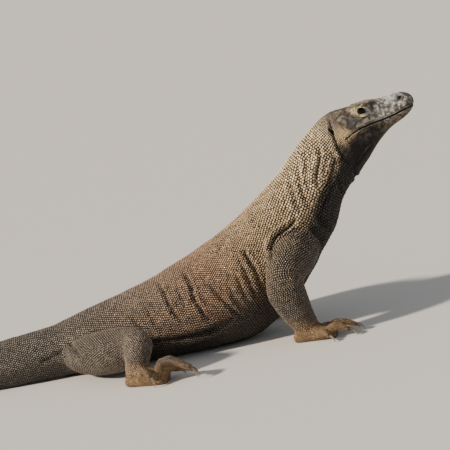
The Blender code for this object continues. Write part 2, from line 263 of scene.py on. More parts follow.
def land(target: Object, points: Array, aims: Array | None = None,
         fields: Sequence[str] = (), labels: Sequence[str] = ()) -> dict[str, Array]:
    """Finds where points meet a mesh, with a Geometry Nodes tree that works on all of them at once.

    Args:
        target: the object whose mesh is met.
        points: where the search starts, n x 3.
        aims: the direction in which each point flies, or none for the nearest place.
        fields: names of numbers on the target's points to read, blended, where they land.
        labels: names of numbers to read from the nearest point alone.

    Returns:
        "place", n x 3, "hit", n, where aims are given, and each field and label by its name, n.
    """
    cloud = make_mesh("probe", points)
    tree = new_tree("probe")
    surface = add_node(tree, "GeometryNodeObjectInfo", {"Object": target}).outputs["Geometry"]
    stored = {}
    if aims is None:
        place = add_node(tree, "GeometryNodeProximity", {0: surface},
                         target_element="FACES").outputs["Position"]
    else:
        add_values(cloud, "aim", aims)
        aim = add_node(tree, "GeometryNodeInputNamedAttribute", {"Name": "aim"},
                       data_type="FLOAT_VECTOR").outputs[0]
        here = add_node(tree, "GeometryNodeInputPosition").outputs[0]
        cast = add_node(tree, "GeometryNodeRaycast",
                        {"Target Geometry": surface, "Source Position": here,
                         "Ray Direction": aim, "Ray Length": 1.0})
        place = cast.outputs["Hit Position"]
        stored["hit"] = add_node(tree, "ShaderNodeMath", {0: cast.outputs["Is Hit"], 1: 1.0},
                                 operation="MULTIPLY").outputs[0]
    for name in (*fields, *labels):
        value = add_node(tree, "GeometryNodeInputNamedAttribute", {"Name": name},
                         data_type="FLOAT").outputs[0]
        if name in fields:
            sample = add_node(tree, "GeometryNodeSampleNearestSurface",
                              {"Mesh": surface, "Value": value, "Sample Position": place},
                              data_type="FLOAT")
        else:
            near = add_node(tree, "GeometryNodeSampleNearest",
                            {"Geometry": surface, "Sample Position": place}).outputs[0]
            sample = add_node(tree, "GeometryNodeSampleIndex",
                              {"Geometry": surface, "Value": value, "Index": near},
                              data_type="FLOAT")
        stored[name] = sample.outputs["Value"]
    flow = add_node(tree, "NodeGroupInput").outputs[0]
    for name, value in stored.items():
        flow = add_node(tree, "GeometryNodeStoreNamedAttribute",
                        {"Geometry": flow, "Name": name, "Value": value},
                        data_type="FLOAT", domain="POINT").outputs[0]
    moved = add_node(tree, "GeometryNodeSetPosition", {"Geometry": flow, "Position": place})
    add_node(tree, "NodeGroupOutput", {0: moved.outputs[0]})
    mesh = run_tree(tree, cloud)
    found = {"place": read_points(mesh)}
    for name in stored:
        found[name] = read(mesh.attributes[name].data, "value", kind=np.float32)
    bpy.data.meshes.remove(mesh)
    return found


# ---------------------------------------------------------------- the frame's own measures

class Part(Enum):
    """The kinds of flesh, by the start of their nodes' names.

    Each says how far the solids' facets are smoothed there, how deep the skin lies under the
    solids, and the spacing of the dots that fill what the rings of scales leave.
    """

    TAIL_TIP = ("tail_tip", 0.0025, 0.0008, 0.0046)
    TAIL_MIDDLE = ("tail_middle", 0.007, 0.0011, 0.0053)
    TAIL_FORE = ("tail_fore", 0.011, 0.0015, 0.0059)
    TAIL_BASE = ("tail_base", 0.016, 0.0015, 0.0064)
    TRUNK = ("trunk", 0.019, 0.0015, 0.0064)
    NECK = ("neck", 0.014, 0.0015, 0.0064)
    HEAD = ("head", 0.0058, 0.0012, 0.0036)
    JAW = ("lower_jaw", 0.0065, 0.0012, 0.0036)
    EYE = ("eye", 0.004, 0.0007, None)
    UPPER_ARM = ("upper_arm", 0.010, 0.0015, 0.0064)
    FOREARM = ("forearm", 0.0065, 0.0011, 0.0052)
    HAND = ("hand", 0.0024, 0.0005, 0.0034)
    THIGH = ("thigh", 0.011, 0.0015, 0.0064)
    SHIN = ("shin", 0.0070, 0.0012, 0.0052)
    HIND_FOOT = ("hind_foot", 0.0024, 0.0005, 0.0034)

    def __init__(self, start: str, softness: float, depth: float, spacing: float | None) -> None:
        """Gives each value its name."""
        self.start, self.softness, self.depth, self.spacing = start, softness, depth, spacing

    @classmethod
    def of(cls, name: str) -> Part:
        """Returns the kind of flesh that a node is."""
        return next(part for part in cls if name.startswith(part.start))


# Starts of node names, for choosing stretches of the body.
TAIL = ("tail_tip", "tail_middle", "tail_fore", "tail_base")
SKULL = ("head", "lower_jaw")
FEET = ("hand", "hind_foot")
LIMBS = {"arm": ("upper_arm", "forearm"), "leg": ("thigh", "shin")}


@dataclass
class Frame:
    """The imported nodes, with the measures that the looks are built from."""

    nodes: dict[str, Object]
    contact: float = 0.0008                         # widest gap between nodes that touch
    cuts: int = 90                                  # planes across the spine
    spine_ends: tuple[float, float] = (0.006, 0.020)    # how far inside tip and snout it ends
    lip_step: float = 0.004                         # between readings of the mouth's height
    lip_ends: tuple[float, float] = (0.006, 0.001)  # how far inside the jaw's ends they lie
    corner: tuple = (0.018, 0, 0.010)               # the mouth's corner behind and under the first

    def points(self, *names: str) -> Array:
        """Returns the corners of the named nodes."""
        return np.concatenate([read_points(self.nodes[name].data) for name in names])

    def edges(self, *names: str) -> Array:
        """Returns the triangle edges of the named nodes, n x 2 x 3."""
        out = []
        for name in names:
            mesh = self.nodes[name].data
            corners = read_points(mesh)[read_triangles(mesh)]
            out.append(np.stack([corners, np.roll(corners, 1, axis=1)], 2).reshape(-1, 2, 3))
        return np.concatenate(out)

    def touch(self, name: str, *others: str) -> Array:
        """Returns the middle of the places where a node's corners lie against its neighbours."""
        points = self.points(name)
        near = np.zeros(len(points), bool)
        for other in others:
            away = land(self.nodes[other], points)["place"] - points
            near |= norm(away) < self.contact
        return (points[near].min(0) + points[near].max(0)) / 2

    def slices(self, edges: Array, stations: Array) -> tuple[Array, Array]:
        """Cuts edges with planes across X.

        Args:
            edges: n x 2 x 3.
            stations: the X of each plane.

        Returns:
            The lowest and the highest Y and Z found on each plane, as stations x 3 with X first.
        """
        low, high = [], []
        run = edges[:, 1, 0] - edges[:, 0, 0]
        run = np.where(np.abs(run) < 1e-9, 1e-9, run)
        for x in stations:
            share = (x - edges[:, 0, 0]) / run
            inside = (share >= 0) & (share <= 1)
            cut = edges[inside, 0] + share[inside, None] * (edges[inside, 1] - edges[inside, 0])
            low.append([x, *cut.min(0)[1:]])
            high.append([x, *cut.max(0)[1:]])
        return np.array(low), np.array(high)

    def spine_line(self) -> Array:
        """Returns the centre line from the tail's tip to just inside the snout."""
        edges = self.edges(*TAIL, "trunk", "neck", *SKULL)
        first = edges[..., 0].min() + self.spine_ends[0]
        last = edges[..., 0].max() - self.spine_ends[1]
        low, high = self.slices(edges, np.linspace(first, last, self.cuts))
        return (low + high) / 2

    def mouth(self) -> Array:
        """Returns the height of the mouth line along X, as rows of x and z."""
        along = self.points("lower_jaw")[:, 0]
        stations = np.arange(along.min() + self.lip_ends[0], along.max() - self.lip_ends[1],
                             self.lip_step)
        top = self.slices(self.edges("lower_jaw"), stations)[1]
        return np.concatenate([[top[0] - self.corner], top])[:, [0, 2]]


@dataclass
class CentreLine:
    """A smooth centre line, read by its length from the start."""

    points: Array
    count: int = 200        # points after resampling
    rounds: int = 60        # of smoothing
    block: int = 4000       # places looked up at once
    length: float = field(init=False)

    def __post_init__(self) -> None:
        """Resamples the line evenly and smooths it."""
        line = self._even(self.points)
        for _ in range(self.rounds):
            line[1:-1] = (line[:-2] + line[1:-1] * 2 + line[2:]) / 4
        self.points = self._even(line)
        self.length = float(norm(np.diff(self.points, axis=0)).sum())

    def _even(self, line: Array) -> Array:
        """Returns the line at evenly spaced lengths."""
        lengths = walked(line)
        return read_between(np.linspace(0, lengths[-1], self.count), lengths, line)

    def at(self, lengths: Array) -> tuple[Array, Array, Array, Array]:
        """Reads the line.

        Args:
            lengths: distances from its start.

        Returns:
            The places, and at each the ways forwards, out of the back and to the right.
        """
        scale = lengths / self.length * (len(self.points) - 1)
        index = np.arange(len(self.points))
        place = read_between(scale, index, self.points)
        ahead = unit(read_between(scale, index, np.gradient(self.points, axis=0)))
        right = unit(np.cross(ahead, (0.0, 0.0, 1.0)))
        return place, ahead, np.cross(right, ahead), right

    def nearest(self, points: Array) -> tuple[Array, Array, Array]:
        """Finds where points lie about the line.

        Args:
            points: n x 3.

        Returns:
            The length along the line, the angle about it (0 at the back, 90 degrees to the
            right), and the distance from it, each n.
        """
        blocks = np.array_split(points, max(1, len(points) // self.block))
        best = np.concatenate([norm(block[:, None] - self.points).argmin(1) for block in blocks])
        along = best / (len(self.points) - 1) * self.length
        place, ahead, back, right = self.at(along)
        away = points - place
        along = along + np.sum(away * ahead, 1)
        high, side = np.sum(away * back, 1), np.sum(away * right, 1)
        return along, np.arctan2(side, high), np.hypot(high, side)


# ---------------------------------------------------------------- colours

@dataclass(frozen=True)
class Markings:
    """The animal's colours, which skin and scales share, with painted shade and painted highlight
    laid in.

    Along the spine they blend from one stop to the next. The limbs have their own.
    """

    # Share of the spine from tail tip to snout, colour of the side, colour of the belly. The
    # belly's colour is partly the animal's own and partly painted shade of the underside, darkest
    # on the throat.
    stops: tuple = (
        (0.00, "#554e46", "#3c3732"),
        (0.30, "#6a635a", "#453f38"),
        (0.47, "#6a6259", "#3e3933"),
        (0.56, "#73675c", "#3e3731"),
        (0.62, "#85715d", "#3d352e"),
        (0.68, "#8e715a", "#3a322b"),
        (0.77, "#9a8465", "#352e27"),
        (0.84, "#c0a784", "#2b2622"),
        (0.905, "#c8b38f", "#24201d"),
        (0.925, "#7c7062", "#24211e"),
        (0.96, "#7f766b", "#4f4840"),
        (1.00, "#98928a", "#7b746b"),
    )
    limb: str = "#63594e"
    foot: str = "#8a6e4e"
    # colour of the painted shade in folds, pits and the mouth's groove
    fold_shade: str = "#1d1915"
    neck: tuple[float, float] = (0.78, 0.86)    # shares between which the belly's dark, here painted shade, climbs up the neck
    belly: tuple[float, float] = (78, 50)       # degrees where it begins and that it takes
    neck_shade_climb: tuple[float, float] = (10, 8)        # how much less both are on the neck
    foot_top: tuple[float, float] = (0.025, 0.085)  # heights between which foot turns to limb
    body_top: tuple[float, float] = (0.10, 0.24)    # and limb to body
    body_part: float = 0.45                     # how much of the body's colour is let in there
    # painted light: how much the shins are lightened, as if lit
    shin_painted_light: float = 0.5
    crest_painted_light: float = 0.9                    # painted highlight on the lips beside a fold and on ridges
    # how far the painted shade darkens the bottom of a fold
    fold_shade_strength: float = 0.75
    # Size of the lattice, strength and seed of the mottling.
    mottling: tuple = ((0.035, 0.16, 21), (0.012, 0.12, 22))

    def along(self, share: Array, belly: Array) -> Array:
        """Blends the stops.

        Args:
            share: share of the spine's length, n.
            belly: 0 on the back and sides to 1 under the belly, n.

        Returns:
            Linear colours, n x 3.
        """
        where, side, under = zip(*self.stops)
        side, under = (read_between(share, where, [linear(code) for code in codes])
                       for codes in (side, under))
        return mix(side, under, belly[:, None])


@dataclass(frozen=True)
class StainAndShade:
    """A spot of another colour about one place of the body, the same on both sides: some are the
    animal's own colours and some are painted shade.
    """

    share: float
    degrees: float
    radius: float
    colour: str
    strength: float


# Each is laid over the ones before it. The dark spots in the nostril, before and behind the eye, on
# the temple, under the lip's roll and on the throat are painted shade.
STAINS_AND_SHADE = tuple(StainAndShade(*row) for row in (
    (0.986, 34, 0.030, "#dedbd4", 0.85),     # pale snout
    (0.970, 70, 0.022, "#d6d2c8", 0.8),      # pale lips
    (0.9952, 43, 0.0075, "#1a1715", 0.95),   # painted shade in the nostril's pit
    (0.962, 105, 0.015, "#6b5638", 0.7),     # brown lower lip
    (0.978, 112, 0.014, "#7a6848", 0.6),
    (0.938, 86, 0.014, "#1b1816", 0.9),      # painted shade under the lip's roll
    (0.951, 92, 0.013, "#1f1b18", 0.85),
    (0.924, 68, 0.012, "#d8bd8c", 0.85),     # tan corner of the jaw
    (0.936, 70, 0.007, "#d2bb90", 0.7),
    (0.9480, 24, 0.012, "#e6cd96", 0.9),     # yellowish above and behind the eye
    (0.962, 15, 0.012, "#c9a799", 0.7),      # pinkish ridge over the eye
    (0.9665, 27, 0.0085, "#12100e", 0.97),   # painted shade in the hollow before the eye, from the top down
    (0.9650, 38, 0.0085, "#12100e", 0.97),
    (0.9625, 50, 0.008, "#12100e", 0.92),
    (0.9395, 32, 0.0125, "#0f0e0c", 0.97),   # painted shade in the hollow behind the eye
    (0.9360, 46, 0.016, "#42444a", 0.85),    # grey temple, darkened and cooled as painted shade
    (0.9440, 58, 0.012, "#4b4c52", 0.75),
    (0.9225, 55, 0.019, "#d6b886", 0.9),     # tan cheek
    (0.9185, 50, 0.009, "#e0cb98", 0.85),    # pale rear edge of the cheek
    (0.945, 150, 0.045, "#151210", 0.95),    # painted shade on the throat, from the chin back
    (0.945, 118, 0.022, "#171412", 0.9),
    (0.930, 108, 0.022, "#171412", 0.93),
    (0.912, 112, 0.026, "#171412", 0.95),
    (0.923, 96, 0.018, "#181513", 0.92),
    (0.905, 145, 0.042, "#171412", 0.95),
    (0.9095, 83, 0.018, "#171412", 0.93),    # painted shade between the jaw's corner and the collar
    (0.9105, 69, 0.011, "#1a1714", 0.8),
    (0.9220, 91, 0.019, "#171412", 0.93),
    (0.9005, 92, 0.014, "#171412", 0.88),
    (0.9925, 47, 0.0068, "#1a1715", 0.93),   # shade behind the nostril
))

LATTICE = 4096                                          # random numbers that the noise draws on
SCATTER = np.array([73856093, 19349663, 83492791])      # large primes that mix a cell's numbers


def value_noise(points: Array, size: float, seed: int) -> Array:
    """Smooth noise from -1 to 1: random numbers on a lattice, blended with smoothstep weights.

    Args:
        points: places, n x 3.
        size: spacing of the lattice.
        seed: picks the random numbers.

    Returns:
        One number for each place.
    """
    table = np.random.default_rng(seed).uniform(-1, 1, LATTICE)
    cell = np.floor(points / size).astype(np.int64)
    t = smoothstep(0, 1, points / size - cell)
    total = np.zeros(len(points))
    for corner in np.ndindex(2, 2, 2):
        mixed = np.bitwise_xor.reduce((cell + corner) * SCATTER, axis=1)
        total += table[mixed % LATTICE] * np.prod(np.where(corner, t, 1 - t), axis=1)
    return total


# ---------------------------------------------------------------- folds of the skin

@dataclass(frozen=True)
class Crease:
    """A groove in the skin with raised lips, or with a depth below zero a ridge, on both sides.

    The path's places are shares of the spine's length with degrees from the back.
    """

    path: tuple[tuple[float, float], ...]
    depth: float
    width: float
    lip: float


CREASES = tuple(Crease(*row) for row in (
    # The deep groove behind the jaw, which turns forward under it, and the thin fold beside it.
    (((0.926, 5), (0.922, 24), (0.916, 41), (0.9125, 54), (0.908, 67), (0.905, 84), (0.9025, 104),
      (0.903, 122)), 0.0100, 0.0042, 0.22),
    (((0.901, 112), (0.9045, 134), (0.9135, 133), (0.929, 130), (0.944, 127)), 0.0055, 0.0045, 0.2),
    (((0.9127, 46), (0.9079, 60), (0.9039, 76), (0.9013, 93), (0.9008, 112), (0.9032, 130)),
      -0.0052, 0.0027, 0.0),
    (((0.9028, 127), (0.9115, 126), (0.9191, 123), (0.9313, 120), (0.9431, 120)),
      -0.0040, 0.0025, 0.0),
    (((0.903, 52), (0.899, 68), (0.895, 84), (0.893, 102)), 0.0050, 0.0038, 0.5),
    # The ridge from the brow to the nostril, and the one from under the eye back over the cheek.
    (((0.9640, 24), (0.9700, 26), (0.9780, 27), (0.9870, 27), (0.9930, 28)), -0.0016, 0.0055, 0.0),
    (((0.9520, 63), (0.9450, 57), (0.9370, 52), (0.9290, 44), (0.9230, 36)), -0.0022, 0.0065, 0.0),
    # Throat.
    (((0.903, 130), (0.897, 150), (0.894, 168), (0.893, 180)), 0.0045, 0.0060, 0.3),
    (((0.887, 96), (0.880, 112), (0.8735, 126), (0.868, 150), (0.865, 170)), 0.0050, 0.0050, 0.5),
    # Long folds down the side of the neck.
    (((0.904, 66), (0.896, 80), (0.884, 90), (0.872, 96), (0.858, 98), (0.846, 99), (0.838, 98)),
      0.0111, 0.0058, 0.50),
    (((0.898, 34), (0.896, 42), (0.890, 53), (0.882, 60), (0.874, 66), (0.866, 73), (0.861, 90)),
      0.0097, 0.0054, 0.55),
    (((0.878, 102), (0.864, 108), (0.850, 109), (0.838, 108)), 0.0078, 0.0062, 0.5),
    (((0.886, 20), (0.880, 36), (0.868, 50), (0.858, 62), (0.852, 78)), 0.0047, 0.0056, 0.5),
    (((0.868, 30), (0.860, 46), (0.850, 60), (0.842, 76), (0.838, 90)), 0.0055, 0.0062, 0.5),
    (((0.850, 34), (0.843, 50), (0.834, 66), (0.826, 84)), 0.0049, 0.0062, 0.5),
    (((0.838, 100), (0.831, 116), (0.827, 134), (0.825, 158)), 0.0065, 0.0078, 0.4),
    (((0.822, 100), (0.815, 122), (0.811, 150)), 0.0059, 0.0084, 0.4),
    # Shoulder, axilla and flank.
    (((0.826, 74), (0.815, 80), (0.805, 78), (0.790, 73), (0.782, 74), (0.775, 78), (0.766, 88)),
      0.0117, 0.0067, 0.5),
    (((0.753, 50), (0.747, 62), (0.744, 82), (0.736, 105)), 0.0072, 0.0057, 0.6),
    (((0.738, 58), (0.734, 76), (0.728, 96), (0.724, 116)), 0.0059, 0.0055, 0.6),
    (((0.724, 70), (0.719, 88), (0.716, 108)), 0.0047, 0.0055, 0.6),
    (((0.708, 78), (0.706, 94), (0.708, 112)), 0.0038, 0.0055, 0.6),
    (((0.661, 24), (0.667, 44), (0.668, 62), (0.665, 79), (0.668, 94), (0.675, 109)),
      0.0072, 0.0060, 0.6),
    (((0.684, 52), (0.689, 70), (0.693, 86), (0.698, 104), (0.704, 120)), 0.0050, 0.0060, 0.6),
    (((0.631, 26), (0.635, 48), (0.636, 68), (0.638, 82), (0.645, 98)), 0.0063, 0.0060, 0.6),
    (((0.650, 48), (0.652, 66), (0.653, 84)), 0.0040, 0.0055, 0.6),
    (((0.608, 50), (0.610, 68), (0.613, 84), (0.621, 100)), 0.0048, 0.0060, 0.6),
    (((0.590, 62), (0.593, 78), (0.600, 94)), 0.0038, 0.0060, 0.6),
    # The flank's long fold from the groin.
    (((0.560, 96), (0.590, 104), (0.625, 112), (0.665, 116), (0.700, 114)), 0.0078, 0.0095, 0.7),
    # Round the root of the tail and over the thigh.
    (((0.505, 60), (0.512, 74), (0.520, 86), (0.530, 96)), 0.0065, 0.0078, 0.5),
    (((0.470, 100), (0.485, 96), (0.498, 88), (0.506, 76)), 0.0065, 0.0078, 0.5),
))


@dataclass(frozen=True)
class Swelling:
    """A soft rise, or with a height below zero a hollow, on both sides of the body."""

    share: float
    degrees: float
    radius: float
    height: float


SWELLINGS = tuple(Swelling(*row) for row in (
    (0.9255, 62, 0.024, 0.0050),     # cheek, overhanging the groove behind the jaw
    (0.9160, 76, 0.016, 0.0030),
    (0.9400, 34, 0.012, -0.0048),    # hollow behind the eye
    (0.9655, 43, 0.009, -0.0034),    # hollow before the eye
    (0.9770, 50, 0.014, -0.0018),    # flat side of the snout
    (0.9440, 76, 0.012, 0.0018),     # muscle over the mouth's corner
    (0.9530, 25, 0.013, -0.0050),    # the brow's top, level with the skull
    (0.9530, 64, 0.011, 0.0016),     # below the eye
    (0.9750, 20, 0.012, -0.0012),    # middle of the snout's top
    (0.9950, 30, 0.009, 0.0014),     # swelling over the nostril
    (0.9300, 100, 0.018, -0.0030),   # under the corner of the jaw
))


@dataclass(frozen=True)
class Pit:
    """A hollow with a rim, whose height is a share of its depth, on both sides of the head."""

    share: float
    degrees: float
    along: float        # half sizes
    across: float
    depth: float
    rim: float


PITS = tuple(Pit(*row) for row in (
    (0.9952, 43, 0.0060, 0.0040, 0.0065, 0.12),      # nostril
    (0.9165, 37, 0.0050, 0.0085, 0.0040, 0.10),      # ear
))


@dataclass
class Lids:
    """One eye's lids: a ring that rolls over the eyeball's edge and dives under the skin round it.

    In the eye's own plane a place is x = r a cos(turn), y = r b sin(turn). Its rho is r inside the
    lids' margin, r = 1, and 1 + (r - 1) / k beyond it, where k falls above the eye, so that the
    ring ends below the brow's top. Ridges are given by their rho, width and height.
    """

    eye: str
    side: int
    half_length: float = 0.0108
    half_height: float = 0.0086
    lean: float = math.radians(-14)             # of the opening, down towards the snout
    gaze: tuple[float, float] = (0.16, 0.12)    # how far the eye looks ahead and up, for 1 out
    front: float = -0.004                       # height over the eye's plane where it ends behind
    thick: float = 0.0012
    outer: float = 1.85                         # rho of the ring's last row
    squeeze: float = 0.48
    pinch: float = 0.13                         # how far the corners of the opening are drawn out
    around: int = 96
    rows: tuple = (0.86, 0.93, 0.97, 1.0, 1.03, 1.08, 1.14, 1.19, 1.22, 1.25, 1.3, 1.36, 1.42,
                   1.48, 1.52, 1.56, 1.62, 1.7, 1.78)
    least: float = 0.0035                       # height of the roll where the ball has ended
    folds: tuple = ((1.36, 0.07, 0.0007), (1.22, 0.05, -0.0011), (1.52, 0.06, -0.0009))
    brow: tuple = ((2.05, 0.30, 0.0017), (1.70, 0.14, -0.0008))
    pouch: tuple = ((2.20, 0.24, 0.0019), (2.75, 0.22, -0.0012))
    ray_start: float = 0.05                     # how far out rays start that fly back to the eye
    pale: str = "#dcc791"
    grey: str = "#77727a"
    # dark margin of the opening, and the painted shade of the fold under the lower lid
    wet: str = "#120e0b"
    centre: Array = field(init=False)
    radius: float = field(init=False)
    axes: Array = field(init=False)

    def __post_init__(self) -> None:
        """Reads the eyeball's place and size, and sets the way it looks."""
        low, high = (np.array(corner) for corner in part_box(self.eye))
        self.centre, self.radius = (low + high) / 2, float((high - low).max() / 2)
        out = unit(np.array([self.gaze[0], self.side, self.gaze[1]]))
        ahead = np.array([math.cos(self.lean), 0, math.sin(self.lean)])
        ahead = unit(ahead - out * (ahead @ out))
        up = np.cross(ahead, out)
        self.axes = np.array([ahead, up if up[2] > 0 else -up, out])

    @property
    def mirrored(self) -> bool:
        """Tells whether the three axes are left-handed, so that faces have to be turned over."""
        return bool(np.linalg.det(self.axes) < 0)

    def local(self, points: Array) -> Array:
        """Returns points in the eye's own axes: ahead, up and out."""
        return (points - self.centre) @ self.axes.T

    def rho(self, points: Array) -> Array:
        """Returns how far out points lie: 1 at the margin, FAR for what isn't before the eye."""
        local = self.local(points)
        radius = np.hypot(local[:, 0] / self.half_length, local[:, 1] / self.half_height)
        flat = np.where(radius > 1, 1 + (radius - 1) / self._narrow(self._rise(local, radius)),
                        radius)
        return np.where(local[:, 2] > self.front, flat, FAR)

    def _rise(self, local: Array, radius: Array) -> Array:
        """Returns 1 straight above the eye to -1 below it."""
        return local[:, 1] / self.half_height / np.maximum(radius, 0.1)

    def _narrow(self, rise: Array) -> Array:
        """Returns k for the sine of the turn."""
        return 1 - self.squeeze * np.maximum(rise, 0)

    def plane(self, rho: Array, turn: Array) -> Array:
        """Returns places in the eye's plane for rho and turn, as n x 3 with the last column 0."""
        pinch = 1 + self.pinch * np.cos(turn) ** 8 * np.clip(2 - rho, 0, 1)
        radius = np.where(rho > 1, 1 + (rho - 1) * self._narrow(np.sin(turn)), rho)
        return np.stack([radius * pinch * self.half_length * np.cos(turn),
                         radius * self.half_height * np.sin(turn), np.zeros_like(rho)], -1)

    def meet(self, flat: Array, skin: Object) -> Array:
        """Returns where the skin lies behind places in the eye's plane."""
        start = self.centre + flat @ self.axes + self.axes[2] * self.ray_start
        return land(skin, start, np.repeat(-self.axes[2:], len(start), 0))["place"]

    def surface(self, rho: Array, turn: Array, skin: Object) -> Array:
        """Works out the lids' surface.

        Near rho 1 it follows a ball a little larger than the eye, then it blends to the skin and
        dives under it.

        Args:
            rho, turn: where, both n.
            skin: the skin before it is pushed in.

        Returns:
            Places, n x 3.
        """
        flat = self.plane(rho, turn)
        skin_high = self.local(self.meet(flat, skin))[:, 2]
        # From inside the ball, over its surface at the margin, to the lid's thickness.
        lift = np.interp(rho, (0.86, 0.93, 0.98, 1.03),
                         (-0.0030, -0.0006, 0.6 * self.thick, self.thick))
        ball = np.maximum((self.radius + lift) ** 2 - (flat ** 2).sum(1), self.least ** 2)
        high = mix(np.sqrt(ball), skin_high, smoothstep(1.08, 1.5, rho))
        high += ridges(rho, self.folds)
        # The ring's rim rises a little over the skin, then dives under it.
        high += 0.0004 * smoothstep(1.5, 1.62, rho) - 0.0024 * smoothstep(1.66, self.outer, rho)
        # The upper lid is heavier and hangs over the eye.
        high += 0.0016 * np.maximum(np.sin(turn), 0) * bell(rho - 1.3, 0.2)
        flat[:, 2] = high
        return self.centre + flat @ self.axes

    def ring(self, skin: Object) -> tuple[Array, Array]:
        """Returns the ring's points and its faces, facing out."""
        rho = np.array([*self.rows, self.outer])
        turn = np.arange(self.around) / self.around * math.tau
        grid = np.stack(np.meshgrid(rho, turn, indexing="ij"), -1).reshape(-1, 2)
        faces = ring_faces(len(rho), self.around)
        return self.surface(*grid.T, skin), faces[:, ::-1] if self.mirrored else faces

    def orbit(self, points: Array) -> Array:
        """Returns the height of the brow over the eye and of the fold under it."""
        rho = self.rho(points)
        rise = self._rise(self.local(points), rho)
        height = smoothstep(-0.25, 0.6, rise) * ridges(rho, self.brow)
        height += smoothstep(0.1, 0.8, -rise) * ridges(rho, self.pouch)
        return np.where(rho < 4, height, 0.0)

    def colour(self, points: Array) -> tuple[Array, Array]:
        """Returns how strongly the lids' own colour shows, n x 1, and that colour, n x 3.

        They are pale yellow above, behind and below the eye and grey before it, with a dark margin
        and a dark line under them, which is painted shade in the fold under the lower lid.
        """
        rho, local = self.rho(points), self.local(points)
        ahead = local[:, 0] / self.half_length / np.maximum(rho, 0.1)
        below = smoothstep(0.2, 0.7, -self._rise(local, rho)) * bell(rho - 2.35, 0.22)
        dark = np.maximum(1 - smoothstep(1.04, 1.16, rho), below)[:, None]
        tone = mix(linear(self.pale), linear(self.grey), smoothstep(0.35, 0.9, ahead)[:, None])
        tone = mix(tone, linear(self.wet), dark)
        return 0.88 * (1 - smoothstep(2.1, 2.8, rho))[:, None], tone

    def push(self, points: Array) -> Array:
        """Returns the skin's points with those under the ring sunk inside the eyeball."""
        local = self.local(points)
        share = 1 - smoothstep(1.35, 1.62, self.rho(points))
        local[:, 2] += (np.minimum(local[:, 2], 0.0015) - local[:, 2]) * share
        return self.centre + local @ self.axes


